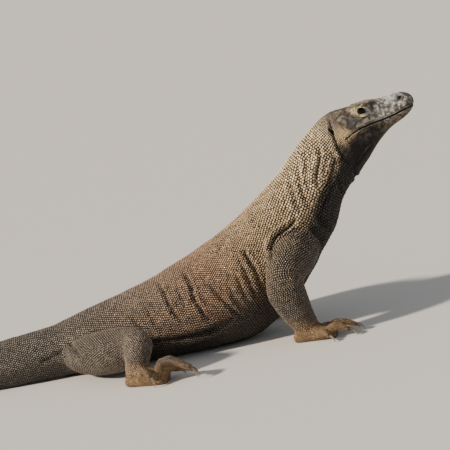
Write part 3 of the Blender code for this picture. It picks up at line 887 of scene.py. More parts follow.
@dataclass
class Skin:
    """The one skin: a voxel skin over the flesh, smoothed, sunk by the coat, folded and lidded."""

    frame: Frame
    line: CentreLine
    markings: Markings
    voxel: float = 0.0066
    smooth_rate: float = 0.5
    evening: int = 4                # rounds that even out the number of smoothing passes
    tip_stretch: float = 0.06       # length of tail that is drawn out to the tip
    tip_inset: float = 0.001
    detail_softness: float = 0.0022
    # How near counts as detail: rho of the lids, then lengths.
    detail_lids: float = 2.6
    detail_mouth: tuple[float, float] = (0.008, 0.02)   # over and under it, and behind its corner
    detail_pit: float = 0.012
    detail_ridge: tuple[float, float] = (0.003, 0.0085)     # creases thinner than this, within that
    chin: float = 0.4               # the mouth is higher than this
    roll: tuple[float, float] = (0.0045, 0.014)     # the soles' rounding: its depth and height
    # Folds: how far round a path they are worked out, the share of it in which they rise at each
    # end, and the share, lattice and seed of the waves in their depth.
    fold_margin: float = 0.008
    fold_rise: tuple[float, float] = (-0.02, 0.25)
    fold_wave: tuple[float, float, int] = (0.25, 0.018, 5)
    # Heights that count as one whole hollow or crest for the painted shade and highlight: fold, its
    # lips, pit, mouth.
    whole: tuple[float, float, float, float] = (0.006, 0.005, 0.004, 0.003)
    # Lumps: height on the body and on the head, then lattice, share and seed of both layers.
    lump_height: tuple[float, float] = (0.0011, 0.0003)
    lumps: tuple = ((0.030, 1.0, 11), (0.011, 0.4, 12))
    # Wrinkles: height and spacing, and the shares of the spine where they come in and go out.
    wrinkle: tuple[float, float] = (0.0007, 0.013)
    wrinkled: tuple = ((0.60, 0.66), (0.90, 0.915))
    names: list[str] = field(init=False)
    lids: list[Lids] = field(init=False)
    obj: Object = field(init=False)
    shell: Object = field(init=False)       # the skin before folds, which rays are cast at
    hollow: Array = field(init=False)
    mouth: Array = field(init=False)

    def __post_init__(self) -> None:
        """Names the flesh nodes and reads the eyes and the mouth line."""
        self.names = sorted(name for name in self.frame.nodes if "claw" not in name)
        self.lids = [Lids(f"eye_{side}", sign) for side, sign in SIDES.items()]
        self.mouth = self.frame.mouth()

    def cast(self, places: Sequence[tuple[float, float]]) -> Array:
        """Returns where rays from the spine's line meet the shell, for its shares and degrees."""
        share, degrees = np.array(places, float).T
        start, _, back, right = self.line.at(share * self.line.length)
        angle = np.radians(degrees)[:, None]
        return land(self.shell, start, back * np.cos(angle) + right * np.sin(angle))["place"]

    def spots(self, mark: StainAndShade | Swelling | Pit) -> Array:
        """Returns a mark's two places on the shell."""
        return self.cast([(mark.share, side * mark.degrees) for side in BOTH])

    def owners(self, points: Array) -> Array:
        """Returns the number of the nearest flesh node for each point."""
        away = [norm(land(self.frame.nodes[name], points)["place"] - points) for name in self.names]
        return np.argmin(away, axis=0)

    def on(self, owners: Array, *starts: str) -> Array:
        """Returns which owners are flesh nodes whose names start so."""
        return np.array([name.startswith(starts) for name in self.names])[owners]

    def measure(self, owners: Array, what: str) -> Array:
        """Returns one of the parts' measures for each owner."""
        return np.array([getattr(Part.of(name), what) for name in self.names])[owners]

    def _wrap(self) -> None:
        """Wraps the flesh in a voxel skin."""
        points, faces, count = [], [], 0
        for name in self.names:
            mesh = self.frame.nodes[name].data
            points.append(read_points(mesh))
            faces.append(read_triangles(mesh) + count)
            count += len(points[-1])
        flesh = make_object("flesh", make_mesh("flesh", np.concatenate(points),
                                               np.concatenate(faces)))
        remesh = flesh.modifiers.new("wrap", "REMESH")
        remesh.mode, remesh.voxel_size = "VOXEL", self.voxel
        self.obj = make_object("skin", evaluated(flesh))
        discard(flesh)

    def _refine(self, chosen: Array) -> None:
        """Cuts the skin's faces in four where all their corners are chosen."""
        work = bmesh.new()
        work.from_mesh(self.obj.data)
        work.verts.ensure_lookup_table()
        edges = [edge for edge in work.edges if all(chosen[vert.index] for vert in edge.verts)]
        bmesh.ops.subdivide_edges(work, edges=edges, cuts=1, use_grid_fill=True)
        bmesh.ops.triangulate(work, faces=[face for face in work.faces if len(face.verts) > 4])
        work.to_mesh(self.obj.data)
        work.free()

    def _detail(self, points: Array) -> Array:
        """Returns which points lie near eyes, mouth line, nostrils, ears or thin ridges."""
        reach, behind = self.detail_mouth
        near = np.abs(self.mouth_gap(points, behind)) < reach
        for lids in self.lids:
            near |= lids.rho(points) < self.detail_lids
        for pit in PITS:
            for spot in self.spots(pit):
                near |= norm(points - spot) < self.detail_pit
        thin_width, reach = self.detail_ridge
        for crease in CREASES:
            if crease.width < thin_width:
                for side in BOTH:
                    near |= self._away(points, crease, side)[0] < reach
        return near

    def _smooth(self, reach: Array) -> None:
        """Spreads each point towards its neighbours' mean until it is blurred over its reach.

        A pass at rate r over edges of length h blurs by h sqrt(r / 2), so a reach takes
        2 reach^2 / (r h^2) passes.
        """
        mesh = self.obj.data
        points = read_points(mesh)
        count = len(points)
        one, two = read(mesh.edges, "vertices", 2).T
        ways = np.bincount(one, minlength=count) + np.bincount(two, minlength=count)

        def mean(at_one: Array, at_two: Array) -> Array:
            """Returns the mean over each point's edges of what they have for their ends."""
            return (np.bincount(one, at_one, count) + np.bincount(two, at_two, count)) / ways

        spans = norm(points[one] - points[two])
        passes = 2 * reach ** 2 / (self.smooth_rate * mean(spans, spans) ** 2)
        for _ in range(self.evening):
            passes = (passes + mean(passes[two], passes[one])) / 2
        for turn in range(int(passes.max()) + 1):
            weight = self.smooth_rate * np.clip(passes - turn, 0, 1)
            shift = [mean(points[two, k], points[one, k]) - points[:, k] for k in range(3)]
            points += weight[:, None] * np.stack(shift, 1)
        move_points(mesh, points)

    def _reach_tip(self) -> None:
        """Draws the tail's end out to the solid's tip, which wrapping and smoothing cut short."""
        start, ahead, _, _ = self.line.at(np.zeros(1))
        points = read_points(self.obj.data)
        along = (points - start) @ ahead[0]
        tip = ((self.frame.points("tail_tip") - start) @ ahead[0]).min()
        gap = along.min() - tip - self.tip_inset
        share = 1 - smoothstep(0, self.tip_stretch, along - along.min())
        move_points(self.obj.data, points - ahead * (gap * share)[:, None])

    def _away(self, points: Array, crease: Crease, side: int) -> tuple[Array, Array]:
        """Finds how points lie to a crease.

        Args:
            points: n x 3.
            crease: the crease.
            side: 1 or -1.

        Returns:
            How far they lie from its path, FAR where not near, and their share of the way along.
        """
        path = self.cast([(share, degrees * side) for share, degrees in crease.path])
        reach = crease.width * 4 + self.fold_margin
        near = np.all((points > path.min(0) - reach) & (points < path.max(0) + reach), axis=1)
        place = points[near][:, None]
        start, run = path[:-1], np.diff(path, axis=0)
        lengths = norm(run)
        share = np.clip(np.sum((place - start) * run, 2) / lengths ** 2, 0, 1)
        away = norm(place - start - share[..., None] * run)
        best = away.argmin(1)
        rows = np.arange(len(best))
        out, way = np.full(len(points), FAR), np.zeros(len(points))
        begun = np.r_[0, np.cumsum(lengths)][best]
        way[near] = (begun + share[rows, best] * lengths[best]) / lengths.sum()
        out[near] = away[rows, best]
        return out, way

    def _crease(self, points: Array, crease: Crease, side: int) -> Array:
        """Works out one crease: depth times a bell, lips as bells beside it, fading to its ends."""
        away, way = self._away(points, crease, side)
        fade = smoothstep(*self.fold_rise, way)
        if crease.path[-1][1] < 180:    # else it meets its mirror image under the body
            fade = fade * smoothstep(*self.fold_rise, 1 - way)
        share, size, seed = self.fold_wave
        wave = 1 + share * value_noise(points, size, seed)
        lip = crease.lip * bell(away - 2.0 * crease.width, 0.8 * crease.width)
        return crease.depth * wave * fade * (-bell(away, crease.width) + lip)

    def pit_spread(self, points: Array, pit: Pit, side: int) -> Array:
        """Returns how far points lie from a pit's middle, 1 at its edge."""
        spot = self.cast([(pit.share, side * pit.degrees)])[0]
        _, ahead, back, right = self.line.at(np.array([pit.share * self.line.length]))
        angle = math.radians(side * pit.degrees)
        across = back[0] * -math.sin(angle) + right[0] * math.cos(angle)
        away = points - spot
        out = np.hypot(away @ ahead[0] / pit.along, away @ across / pit.across)
        return np.where(norm(away) < 0.03, out, FAR)

    def mouth_gap(self, points: Array, behind: float = 0.0) -> Array:
        """Returns the height of points over the mouth line, or FAR away from it.

        Args:
            points: n x 3.
            behind: how far behind its corner the line is still read.

        Returns:
            One height for each.
        """
        line_z = np.interp(points[:, 0], self.mouth[:, 0], self.mouth[:, 1])
        inside = (points[:, 0] > self.mouth[0, 0] - behind) & (points[:, 2] > self.chin)
        return np.where(inside, points[:, 2] - line_z, FAR)

    def _lips(self, points: Array) -> Array:
        """Returns the height of the mouth's groove and of the lips beside it."""
        gap = self.mouth_gap(points)
        x, start, end = points[:, 0], self.mouth[0, 0], self.mouth[-1, 0]
        fade = smoothstep(start, start + 0.012, x)
        rear = 1 - smoothstep(start + 0.06, start + 0.12, x)
        snout = smoothstep(end - 0.02, end, x)
        lips = fade * (-(0.0034 + 0.0016 * rear) * bell(gap, 0.0018 + 0.0006 * rear)
                       + 0.0015 * (1 - snout) * bell(np.abs(gap) - 0.0060, 0.0030))
        # The lower lip is a roll in the jaw's rear half, with a second groove under it.
        roll = 0.0022 * bell(gap + 0.0085, 0.0035) - 0.0030 * bell(gap + 0.0155, 0.0032)
        return lips + fade * rear * roll

    def _wrinkles(self, points: Array) -> Array:
        """Returns the height of fine wrinkles that run round the neck and down the flanks."""
        along, _, _ = self.line.nearest(points)
        share = along / self.line.length
        (height, spacing), (rise, fall) = self.wrinkle, self.wrinkled
        folded = smoothstep(*rise, share) * (1 - smoothstep(*fall, share))
        wave = np.sin((along + 0.012 * value_noise(points, 0.05, 13)) / spacing * math.tau)
        return height * folded * wave * (0.5 + 0.5 * value_noise(points, 0.06, 14))

    def _relief(self, points: Array, owners: Array) -> Array:
        """Adds up every fold, pit and ripple, as a height along the normal.

        It also notes how deep in a fold each point is, from below 0 on a crest to 1 or more.
        """
        height = -self.measure(owners, "depth")
        self.hollow = np.zeros(len(points))
        fold, crest, pit_floor, mouth = self.whole
        for crease in CREASES:
            for side in BOTH:
                one = self._crease(points, crease, side)
                height += one
                self.hollow += np.where(one < 0, -one / fold, -one / crest)
        for pit in PITS:
            for side in BOTH:
                far = self.pit_spread(points, pit, side)
                one = (-pit.depth * (1 - smoothstep(0.55, 1.15, far))
                       + pit.rim * pit.depth * bell(far - 1.45, 0.35))
                height += one
                self.hollow = np.maximum(self.hollow, -one / pit_floor)
        for swelling in SWELLINGS:
            for spot in self.spots(swelling):
                away = norm(points - spot)
                height += swelling.height * bell(away, swelling.radius)
        for lids in self.lids:
            height += lids.orbit(points)
        lips = self._lips(points)
        height += lips
        self.hollow = np.maximum(self.hollow, -lips / mouth)
        on_head = self.on(owners, *SKULL)
        on_body, on_skull = self.lump_height
        lump = np.where(on_head, on_skull, on_body)
        height += sum(lump * share * value_noise(points, size, seed)
                      for size, share, seed in self.lumps)
        return height + self._wrinkles(points) * ~on_head

    def build(self) -> Object:
        """Builds the skin with its lids.

        Returns:
            The skin, with its colours and owners stored on its points.
        """
        self._wrap()
        owners = self.owners(read_points(self.obj.data))
        self._refine(self.on(owners, *SKULL, "eye", *FEET))
        mesh = self.obj.data
        points = read_points(mesh)
        self._smooth(self.measure(self.owners(points), "softness"))
        self._reach_tip()
        self.shell = make_object("shell", mesh.copy())
        self._refine(self._detail(points))
        self._smooth(np.where(self._detail(read_points(mesh)), self.detail_softness, 0.0))
        points = read_points(mesh)
        owners = self.owners(points)
        normals = read_points(mesh, "normal")
        points += normals * self._relief(points, owners)[:, None]
        # The feet's lower edges are rounded in towards the sole.
        depth, top = self.roll
        inset = depth * self.on(owners, *FEET) * np.clip(1 - points[:, 2] / top, 0, 1) ** 2
        points[:, :2] -= normals[:, :2] * inset[:, None]
        move_points(mesh, points)
        rings = [lids.ring(self.obj) for lids in self.lids]
        for lids in self.lids:
            points = lids.push(points)
        points[:, 2] = np.maximum(points[:, 2], 0.0)
        faces = np.full((len(mesh.polygons), 4), -1)
        sizes = read(mesh.polygons, "loop_total")
        faces[np.arange(4) < sizes[:, None]] = read(mesh.loops, "vertex_index")
        for places, corners in rings:
            faces = np.concatenate([faces, corners + len(points)])
            points = np.concatenate([points, places])
        extra = len(points) - len(owners)
        owners = np.r_[owners, np.full(extra, self.names.index("head"))]
        self.hollow = np.r_[self.hollow, np.zeros(extra)]
        discard(self.obj)
        self.obj = make_object("skin", make_mesh("skin", points, faces))
        mesh = self.obj.data
        for name, values in zip(("nx", "ny", "nz"), read_points(mesh, "normal").T):
            add_values(mesh, name, values)
        add_values(mesh, "owner", owners.astype(float))
        add_values(mesh, "hollow", self.hollow)
        add_values(mesh, "ground", self.colour(points, owners, self.hollow))
        return self.obj

    def _limb_colour(self, body: Array, points: Array, owners: Array) -> Array:
        """Returns the limbs' colour: the body's is let in at the top, the feet are warmer, and the
        shins are lightened as painted light.
        """
        marks, z = self.markings, points[:, 2, None]
        upper = self.on(owners, "thigh", "upper_arm")[:, None]
        foot = (1 - smoothstep(*marks.foot_top, z)) * ~upper
        out = mix(linear(marks.limb), linear(marks.foot), foot)
        top = smoothstep(*marks.body_top, z) * ~upper + 0.5 * upper
        out = mix(out, body, marks.body_part * top)
        return out * (1 + marks.shin_painted_light * self.on(owners, "shin")[:, None])

    def colour(self, points: Array, owners: Array, hollow: Array) -> Array:
        """Works out the markings, with painted shade in folds, pits and the mouth's groove and
        painted highlight on the lips beside folds and on ridges.

        Args:
            points: places, n x 3.
            owners: numbers of the nearest flesh nodes, n.
            hollow: how deep in a fold each place is, below 0 on its crest, n.

        Returns:
            Linear colours with alpha 1, n x 4.
        """
        marks = self.markings
        along, angle, _ = self.line.nearest(points)
        share = along / self.line.length
        # the belly's darker colour, partly painted shade of the underside, reaches higher on the
        # neck as painted shade of the throat
        neck = smoothstep(*marks.neck, share)
        (begin, over), (sooner, shorter) = marks.belly, marks.neck_shade_climb
        under = (np.degrees(np.abs(angle)) - begin + sooner * neck) / (over - shorter * neck)
        out = marks.along(share, smoothstep(0, 1, under))
        limb = self.on(owners, *LIMBS["arm"], *LIMBS["leg"], *FEET)[:, None]
        out = np.where(limb, self._limb_colour(out, points, owners), out)
        # stains of the animal's own colour, and spots of painted shade
        for stain_and_shade in STAINS_AND_SHADE:
            for spot in self.spots(stain_and_shade):
                away = norm(points - spot)[:, None]
                near = np.where(limb, 0, stain_and_shade.strength * bell(away, stain_and_shade.radius))
                out = mix(out, linear(stain_and_shade.colour), near)
        for lids in self.lids:
            ring, tone = lids.colour(points)
            out = mix(out, tone, ring)
        out *= 1 + sum(strength * value_noise(points, size, seed)
                       for size, strength, seed in marks.mottling)[:, None]
        # painted highlight on crests, then painted shade in folds, pits and the mouth's groove
        out *= 1 + marks.crest_painted_light * np.clip(-hollow, 0, 1)[:, None]
        dark = marks.fold_shade_strength * np.clip(hollow, 0, 1)[:, None]
        out = mix(out, linear(marks.fold_shade), dark)
        return np.c_[np.clip(out, 0, 1), np.ones(len(points))]


# ---------------------------------------------------------------- the coat of scales

@dataclass
class Roots:
    """Where scales stand, the way they lie, and their half length, half width and height."""

    place: Array
    lie: Array
    size: Array

    @staticmethod
    def alike(place: Array, lie: Sequence[float], size: Sequence[float]) -> Roots:
        """Returns roots that share one lie and one size."""
        return Roots(place, np.tile(lie, (len(place), 1)), np.tile(size, (len(place), 1)))

    @staticmethod
    def join(parts: Sequence[Roots]) -> Roots:
        """Returns all the roots in one."""
        return Roots(*(np.concatenate([getattr(part, name) for part in parts])
                       for name in ("place", "lie", "size")))

    def pick(self, chosen: Array) -> Roots:
        """Returns the chosen roots."""
        return Roots(self.place[chosen], self.lie[chosen], self.size[chosen])


@dataclass
class Rows:
    """Rings of scales about a centre line, every second ring half a scale along."""

    line: CentreLine
    pitch: tuple[tuple[float, float], ...]   # share of the line, spacing of scales
    girth: float                             # rough radius, for the rows' spacing round bends
    shape: tuple[float, float, float]        # length, width and height, as shares of the spacing
    span: tuple[float, float]                # shares of the line where the rings begin and end
    jitter: float = 0.08                     # small shifts, as a share of the spacing
    rays: int = 240                          # round each ring
    samples: int = 4000                      # of the line, for the rows' spacing
    window: int = 40                         # samples to each side over which bends are averaged
    row_gap: float = 0.87                    # between rows, as a share of the spacing
    cap: float = 0.0                         # radius of the end that tilted rings close, or none

    def _stations(self) -> Array:
        """Returns lengths along the line, closer where it bends so that the outside is covered."""
        fine = np.linspace(*self.span, self.samples) * self.line.length
        ahead = self.line.at(fine)[1]
        bend = norm(np.gradient(ahead, axis=0)) / np.gradient(fine)
        wide = 2 * self.window + 1
        bend = np.convolve(np.pad(bend, self.window, mode="edge"), np.ones(wide) / wide, "valid")
        step = self._pitch(fine) * self.row_gap / (1 + bend * self.girth)
        count = np.cumsum(np.gradient(fine) / step)
        return np.interp(np.arange(count[0], count[-1]), count, fine)

    def _pitch(self, lengths: Array) -> Array:
        """Returns the spacing at lengths along the line."""
        share, pitch = np.array(self.pitch).T
        return np.interp(lengths / self.line.length, share, pitch)

    def lay(self, skin: Object, seed: int) -> Roots:
        """Lays the rings.

        Rays fly out of each station to the skin. Scales then stand at equal lengths of the ring
        they draw, counted down both sides from the back.

        Args:
            skin: the skin.
            seed: for the small random shifts.

        Returns:
            The roots.
        """
        rng = np.random.default_rng(seed)
        lengths = self._stations()
        tilt = np.zeros(len(lengths))
        if self.cap:
            end = float(self.line.length * self.span[1])
            steps = int(0.5 * math.pi * self.cap / self._pitch(np.array([end]))[0])
            lengths = np.r_[lengths, np.full(steps, end)]
            tilt = np.r_[tilt, (np.arange(steps) + 0.7) / steps * math.pi / 2]
        pitch = self._pitch(lengths)
        start, ahead, back, right = (values[:, None] for values in self.line.at(lengths))
        angle = (np.arange(self.rays) / self.rays * math.tau)[None, :, None]
        flat = back * np.cos(angle) + right * np.sin(angle)
        aim = flat * np.cos(tilt)[:, None, None] + ahead * np.sin(tilt)[:, None, None]
        begin = np.broadcast_to(start, aim.shape)
        found = land(skin, begin.reshape(-1, 3), aim.reshape(-1, 3))
        rings = found["place"].reshape(aim.shape)
        missed = (found["hit"].reshape(aim.shape[:2]) < 0.5).any(1)
        places, lies, sizes = [], [], []
        for row in np.flatnonzero(~missed):
            loop = np.concatenate([rings[row], rings[row, :1]])
            arc = walked(loop)
            down = np.arange(0.5 * (row % 2), arc[-1] / 2 / pitch[row] - 0.25) * pitch[row]
            at = np.r_[down, arc[-1] - down[down > 0]]
            at = at + rng.normal(0, self.jitter * pitch[row], len(at))
            places.append(read_between(at, arc, loop))
            lies.append(np.repeat(-ahead[row], len(at), 0))
            sizes.append(np.full(len(at), pitch[row]))
        place, lie, size = (np.concatenate(values) for values in (places, lies, sizes))
        place += lie * rng.normal(0, self.jitter, len(place))[:, None] * size[:, None]
        return Roots(place, lie, size[:, None] * np.array(self.shape) * (0.5, 0.5, 1.0))


@dataclass
class Dots:
    """Scales dotted evenly, but without rows, over one flesh node."""

    owner: int
    pitch: float
    seed: int
    shape: tuple[float, float, float] = (1.12, 1.0, 0.25)
    toward: tuple[float, float, float] = (-1.0, 0.0, 0.25)
    apart: float = 0.84         # least distance, as a share of the spacing
    tries: float = 6.0          # dots tried for each square of the spacing

    def lay(self, skin: Object) -> Roots:
        """Lays the scales with a Geometry Nodes tree that keeps them a least distance apart.

        Args:
            skin: the skin, with its owners stored.

        Returns:
            The roots.
        """
        tree = new_tree("dots")
        surface = add_node(tree, "GeometryNodeObjectInfo", {"Object": skin}).outputs["Geometry"]
        mine = add_node(tree, "GeometryNodeInputNamedAttribute", {"Name": "owner"},
                        data_type="FLOAT").outputs[0]
        chosen = add_node(tree, "FunctionNodeCompare",
                          {0: mine, 1: float(self.owner), "Epsilon": 0.4},
                          data_type="FLOAT", operation="EQUAL").outputs[0]
        dots = add_node(tree, "GeometryNodeDistributePointsOnFaces",
                        {"Mesh": surface, "Selection": chosen, "Seed": self.seed,
                         "Distance Min": self.pitch * self.apart,
                         "Density Max": self.tries / self.pitch ** 2}, distribute_method="POISSON")
        verts = add_node(tree, "GeometryNodePointsToVertices", {"Points": dots.outputs["Points"]})
        add_node(tree, "NodeGroupOutput", {0: verts.outputs[0]})
        mesh = run_tree(tree, make_mesh("dots", np.zeros((1, 3))))
        place = read_points(mesh)
        bpy.data.meshes.remove(mesh)
        size = self.pitch * np.array(self.shape) * (0.5, 0.5, 1.0)
        return Roots.alike(place, self.toward, size)


def close_pairs(points: Array, reach: float) -> tuple[Array, Array]:
    """Finds pairs of points closer than reach, by sorting them into cubes of that size.

    Args:
        points: n x 3.
        reach: the distance.

    Returns:
        The numbers of the two points of each pair, the lower first.
    """
    cell = np.floor((points - points.min(0)) / reach).astype(np.int64) + 1
    step = np.array([1, 4096, 4096 * 4096])     # there are fewer than 4096 cubes along each axis
    key = cell @ step
    order = np.argsort(key, kind="stable")
    ranked = key[order]
    pairs = []
    for shift in np.ndindex(3, 3, 3):
        wanted = key + (np.array(shift) - 1) @ step
        start, stop = np.searchsorted(ranked, wanted), np.searchsorted(ranked, wanted, "right")
        count = stop - start
        one = np.repeat(np.arange(len(points)), count)
        within = np.arange(count.sum()) - np.repeat(np.cumsum(count) - count, count)
        two = order[np.repeat(start, count) + within]
        one, two = one[one < two], two[one < two]
        near = norm(points[one] - points[two]) < reach
        pairs.append((one[near], two[near]))
    one, two = (np.concatenate(numbers) for numbers in zip(*pairs))
    return one, two


def thin(points: Array, room: Array) -> Array:
    """Chooses points so that none stands too near an earlier one that is kept.

    Args:
        points: n x 3, the most wanted first.
        room: the radius each needs, n.

    Returns:
        True for the points kept.
    """
    one, two = close_pairs(points, float(room.max() * 2))
    tight = norm(points[one] - points[two]) < room[one] + room[two]
    one, two = one[tight], two[tight]
    kept, left = np.zeros(len(points), bool), np.ones(len(points), bool)
    while left.any():
        blocked = np.zeros(len(points), bool)
        blocked[two[left[one] & left[two]]] = True
        chosen = left & ~blocked
        kept |= chosen
        left &= ~chosen
        left[two[chosen[one]]] = False
        left[one[chosen[two]]] = False
    return kept


def spread(points: Array, room: Array, free: Array, passes: int) -> Array:
    """Pushes points apart, so that they share out the gaps between them.

    Two points nearer than their rooms together each give way by three tenths of what is lacking.

    Args:
        points: n x 3.
        room: the radius each wants, n.
        free: which points may move, n.
        passes: how many times.

    Returns:
        The new places, n x 3.
    """
    count = len(points)
    for _ in range(passes):
        one, two = close_pairs(points, float(room.max() * 2))
        away = points[two] - points[one]
        lack = room[one] + room[two] - norm(away)
        tight = lack > 0
        one, two = one[tight], two[tight]
        push = unit(away[tight]) * lack[tight, None] * 0.3
        shift = [np.bincount(two, push[:, k], count) - np.bincount(one, push[:, k], count)
                 for k in range(3)]
        points = points + np.stack(shift, 1) * free[:, None]
    return points


@dataclass
class ScaleMesh:
    """Turns roots into beads: a sunk six-sided foot, a six-sided shoulder and a crown set back."""

    sides: int = 6
    sink: float = 0.45
    shoulder: tuple[float, float] = (0.80, 0.64)    # radius and height, as shares
    crown_back: float = 0.16
    shoulder_tone: float = 0.75                     # from 0 at the foot to 1 on the crown
    wobble: float = 0.07                            # unevenness of the outline
    turning: float = 0.10                           # unevenness of the lie
    sizes: tuple[float, float, float] = (0.08, 0.8, 1.25)   # unevenness, smallest and largest
    margin: float = 0.01                            # left free round the bake map

    def _faces(self) -> Array:
        """Returns one bead's faces: its flanks, the triangles round its crown and its base."""
        k = np.arange(self.sides)
        n, none = (k + 1) % self.sides, np.full(self.sides, -1)
        top = np.full(self.sides, 2 * self.sides)
        flank = np.stack([k, n, n + self.sides, k + self.sides, none, none], 1)
        crown = np.stack([k + self.sides, n + self.sides, top, none, none, none], 1)
        return np.concatenate([flank, crown, [k[::-1]]])

    def build(self, name: str, roots: Roots, normals: Array, ground: Array,
              chart: Array, seed: int) -> Object:
        """Builds one coat piece.

        A corner lies at root + x (length) lie + y (width) across + z (height) normal.

        Args:
            name: the piece's name.
            roots: the scales.
            normals: the skin's normal at each root.
            ground: the markings' colour at each root.
            chart: each root's place on the bake map, 0 to 1.
            seed: for size and turn.

        Returns:
            The piece.
        """
        rng = np.random.default_rng(seed)
        count, sides = len(roots.place), self.sides
        per = 2 * sides + 1
        angle = np.arange(sides) / sides * math.tau + math.pi / 6
        rim = np.stack([np.cos(angle), np.sin(angle)], 1)
        corners = np.concatenate([np.c_[rim, np.full(sides, -self.sink)],
                                  np.c_[rim * self.shoulder[0], np.full(sides, self.shoulder[1])],
                                  [[self.crown_back, 0, 1]]])
        wobble = np.ones((count, per, 3))
        wobble[:, :-1, :2] = np.tile(rng.normal(1, self.wobble, (count, sides, 1)), (1, 2, 2))
        turn = rng.normal(0, self.turning, count)
        lie = roots.lie + np.cross(normals, roots.lie) * turn[:, None]
        lie = unit(lie - normals * np.sum(lie * normals, 1)[:, None])
        across = np.cross(normals, lie)
        uneven, least, most = self.sizes
        size = roots.size * np.clip(rng.normal(1, uneven, (count, 1)), least, most)
        frames = np.stack([lie * size[:, :1], across * size[:, 1:2], normals * size[:, 2:]], 1)
        points = roots.place[:, None] + (corners * wobble) @ frames
        points[..., 2] = np.maximum(points[..., 2], 0.0)
        one = self._faces()
        faces = np.where(one >= 0, one + np.arange(count)[:, None, None] * per, -1)
        mesh = make_mesh(name, points.reshape(-1, 3), faces.reshape(-1, sides))
        tones = np.repeat([0.0, self.shoulder_tone, 1.0], [sides, sides, 1])
        add_values(mesh, "crown", np.tile(tones, count))
        add_values(mesh, "ground", np.repeat(ground, per, 0))
        chart = self.margin + (1 - 2 * self.margin) * chart
        chart = chart[:, None] + corners[:, :2] * PATCH / 2
        layer = mesh.uv_layers.new(name=BAKE_MAP)
        places = chart.reshape(-1, 2)[read(mesh.loops, "vertex_index")]
        layer.data.foreach_set("uv", places.astype(np.float32).ravel())
        return make_object(name, mesh)


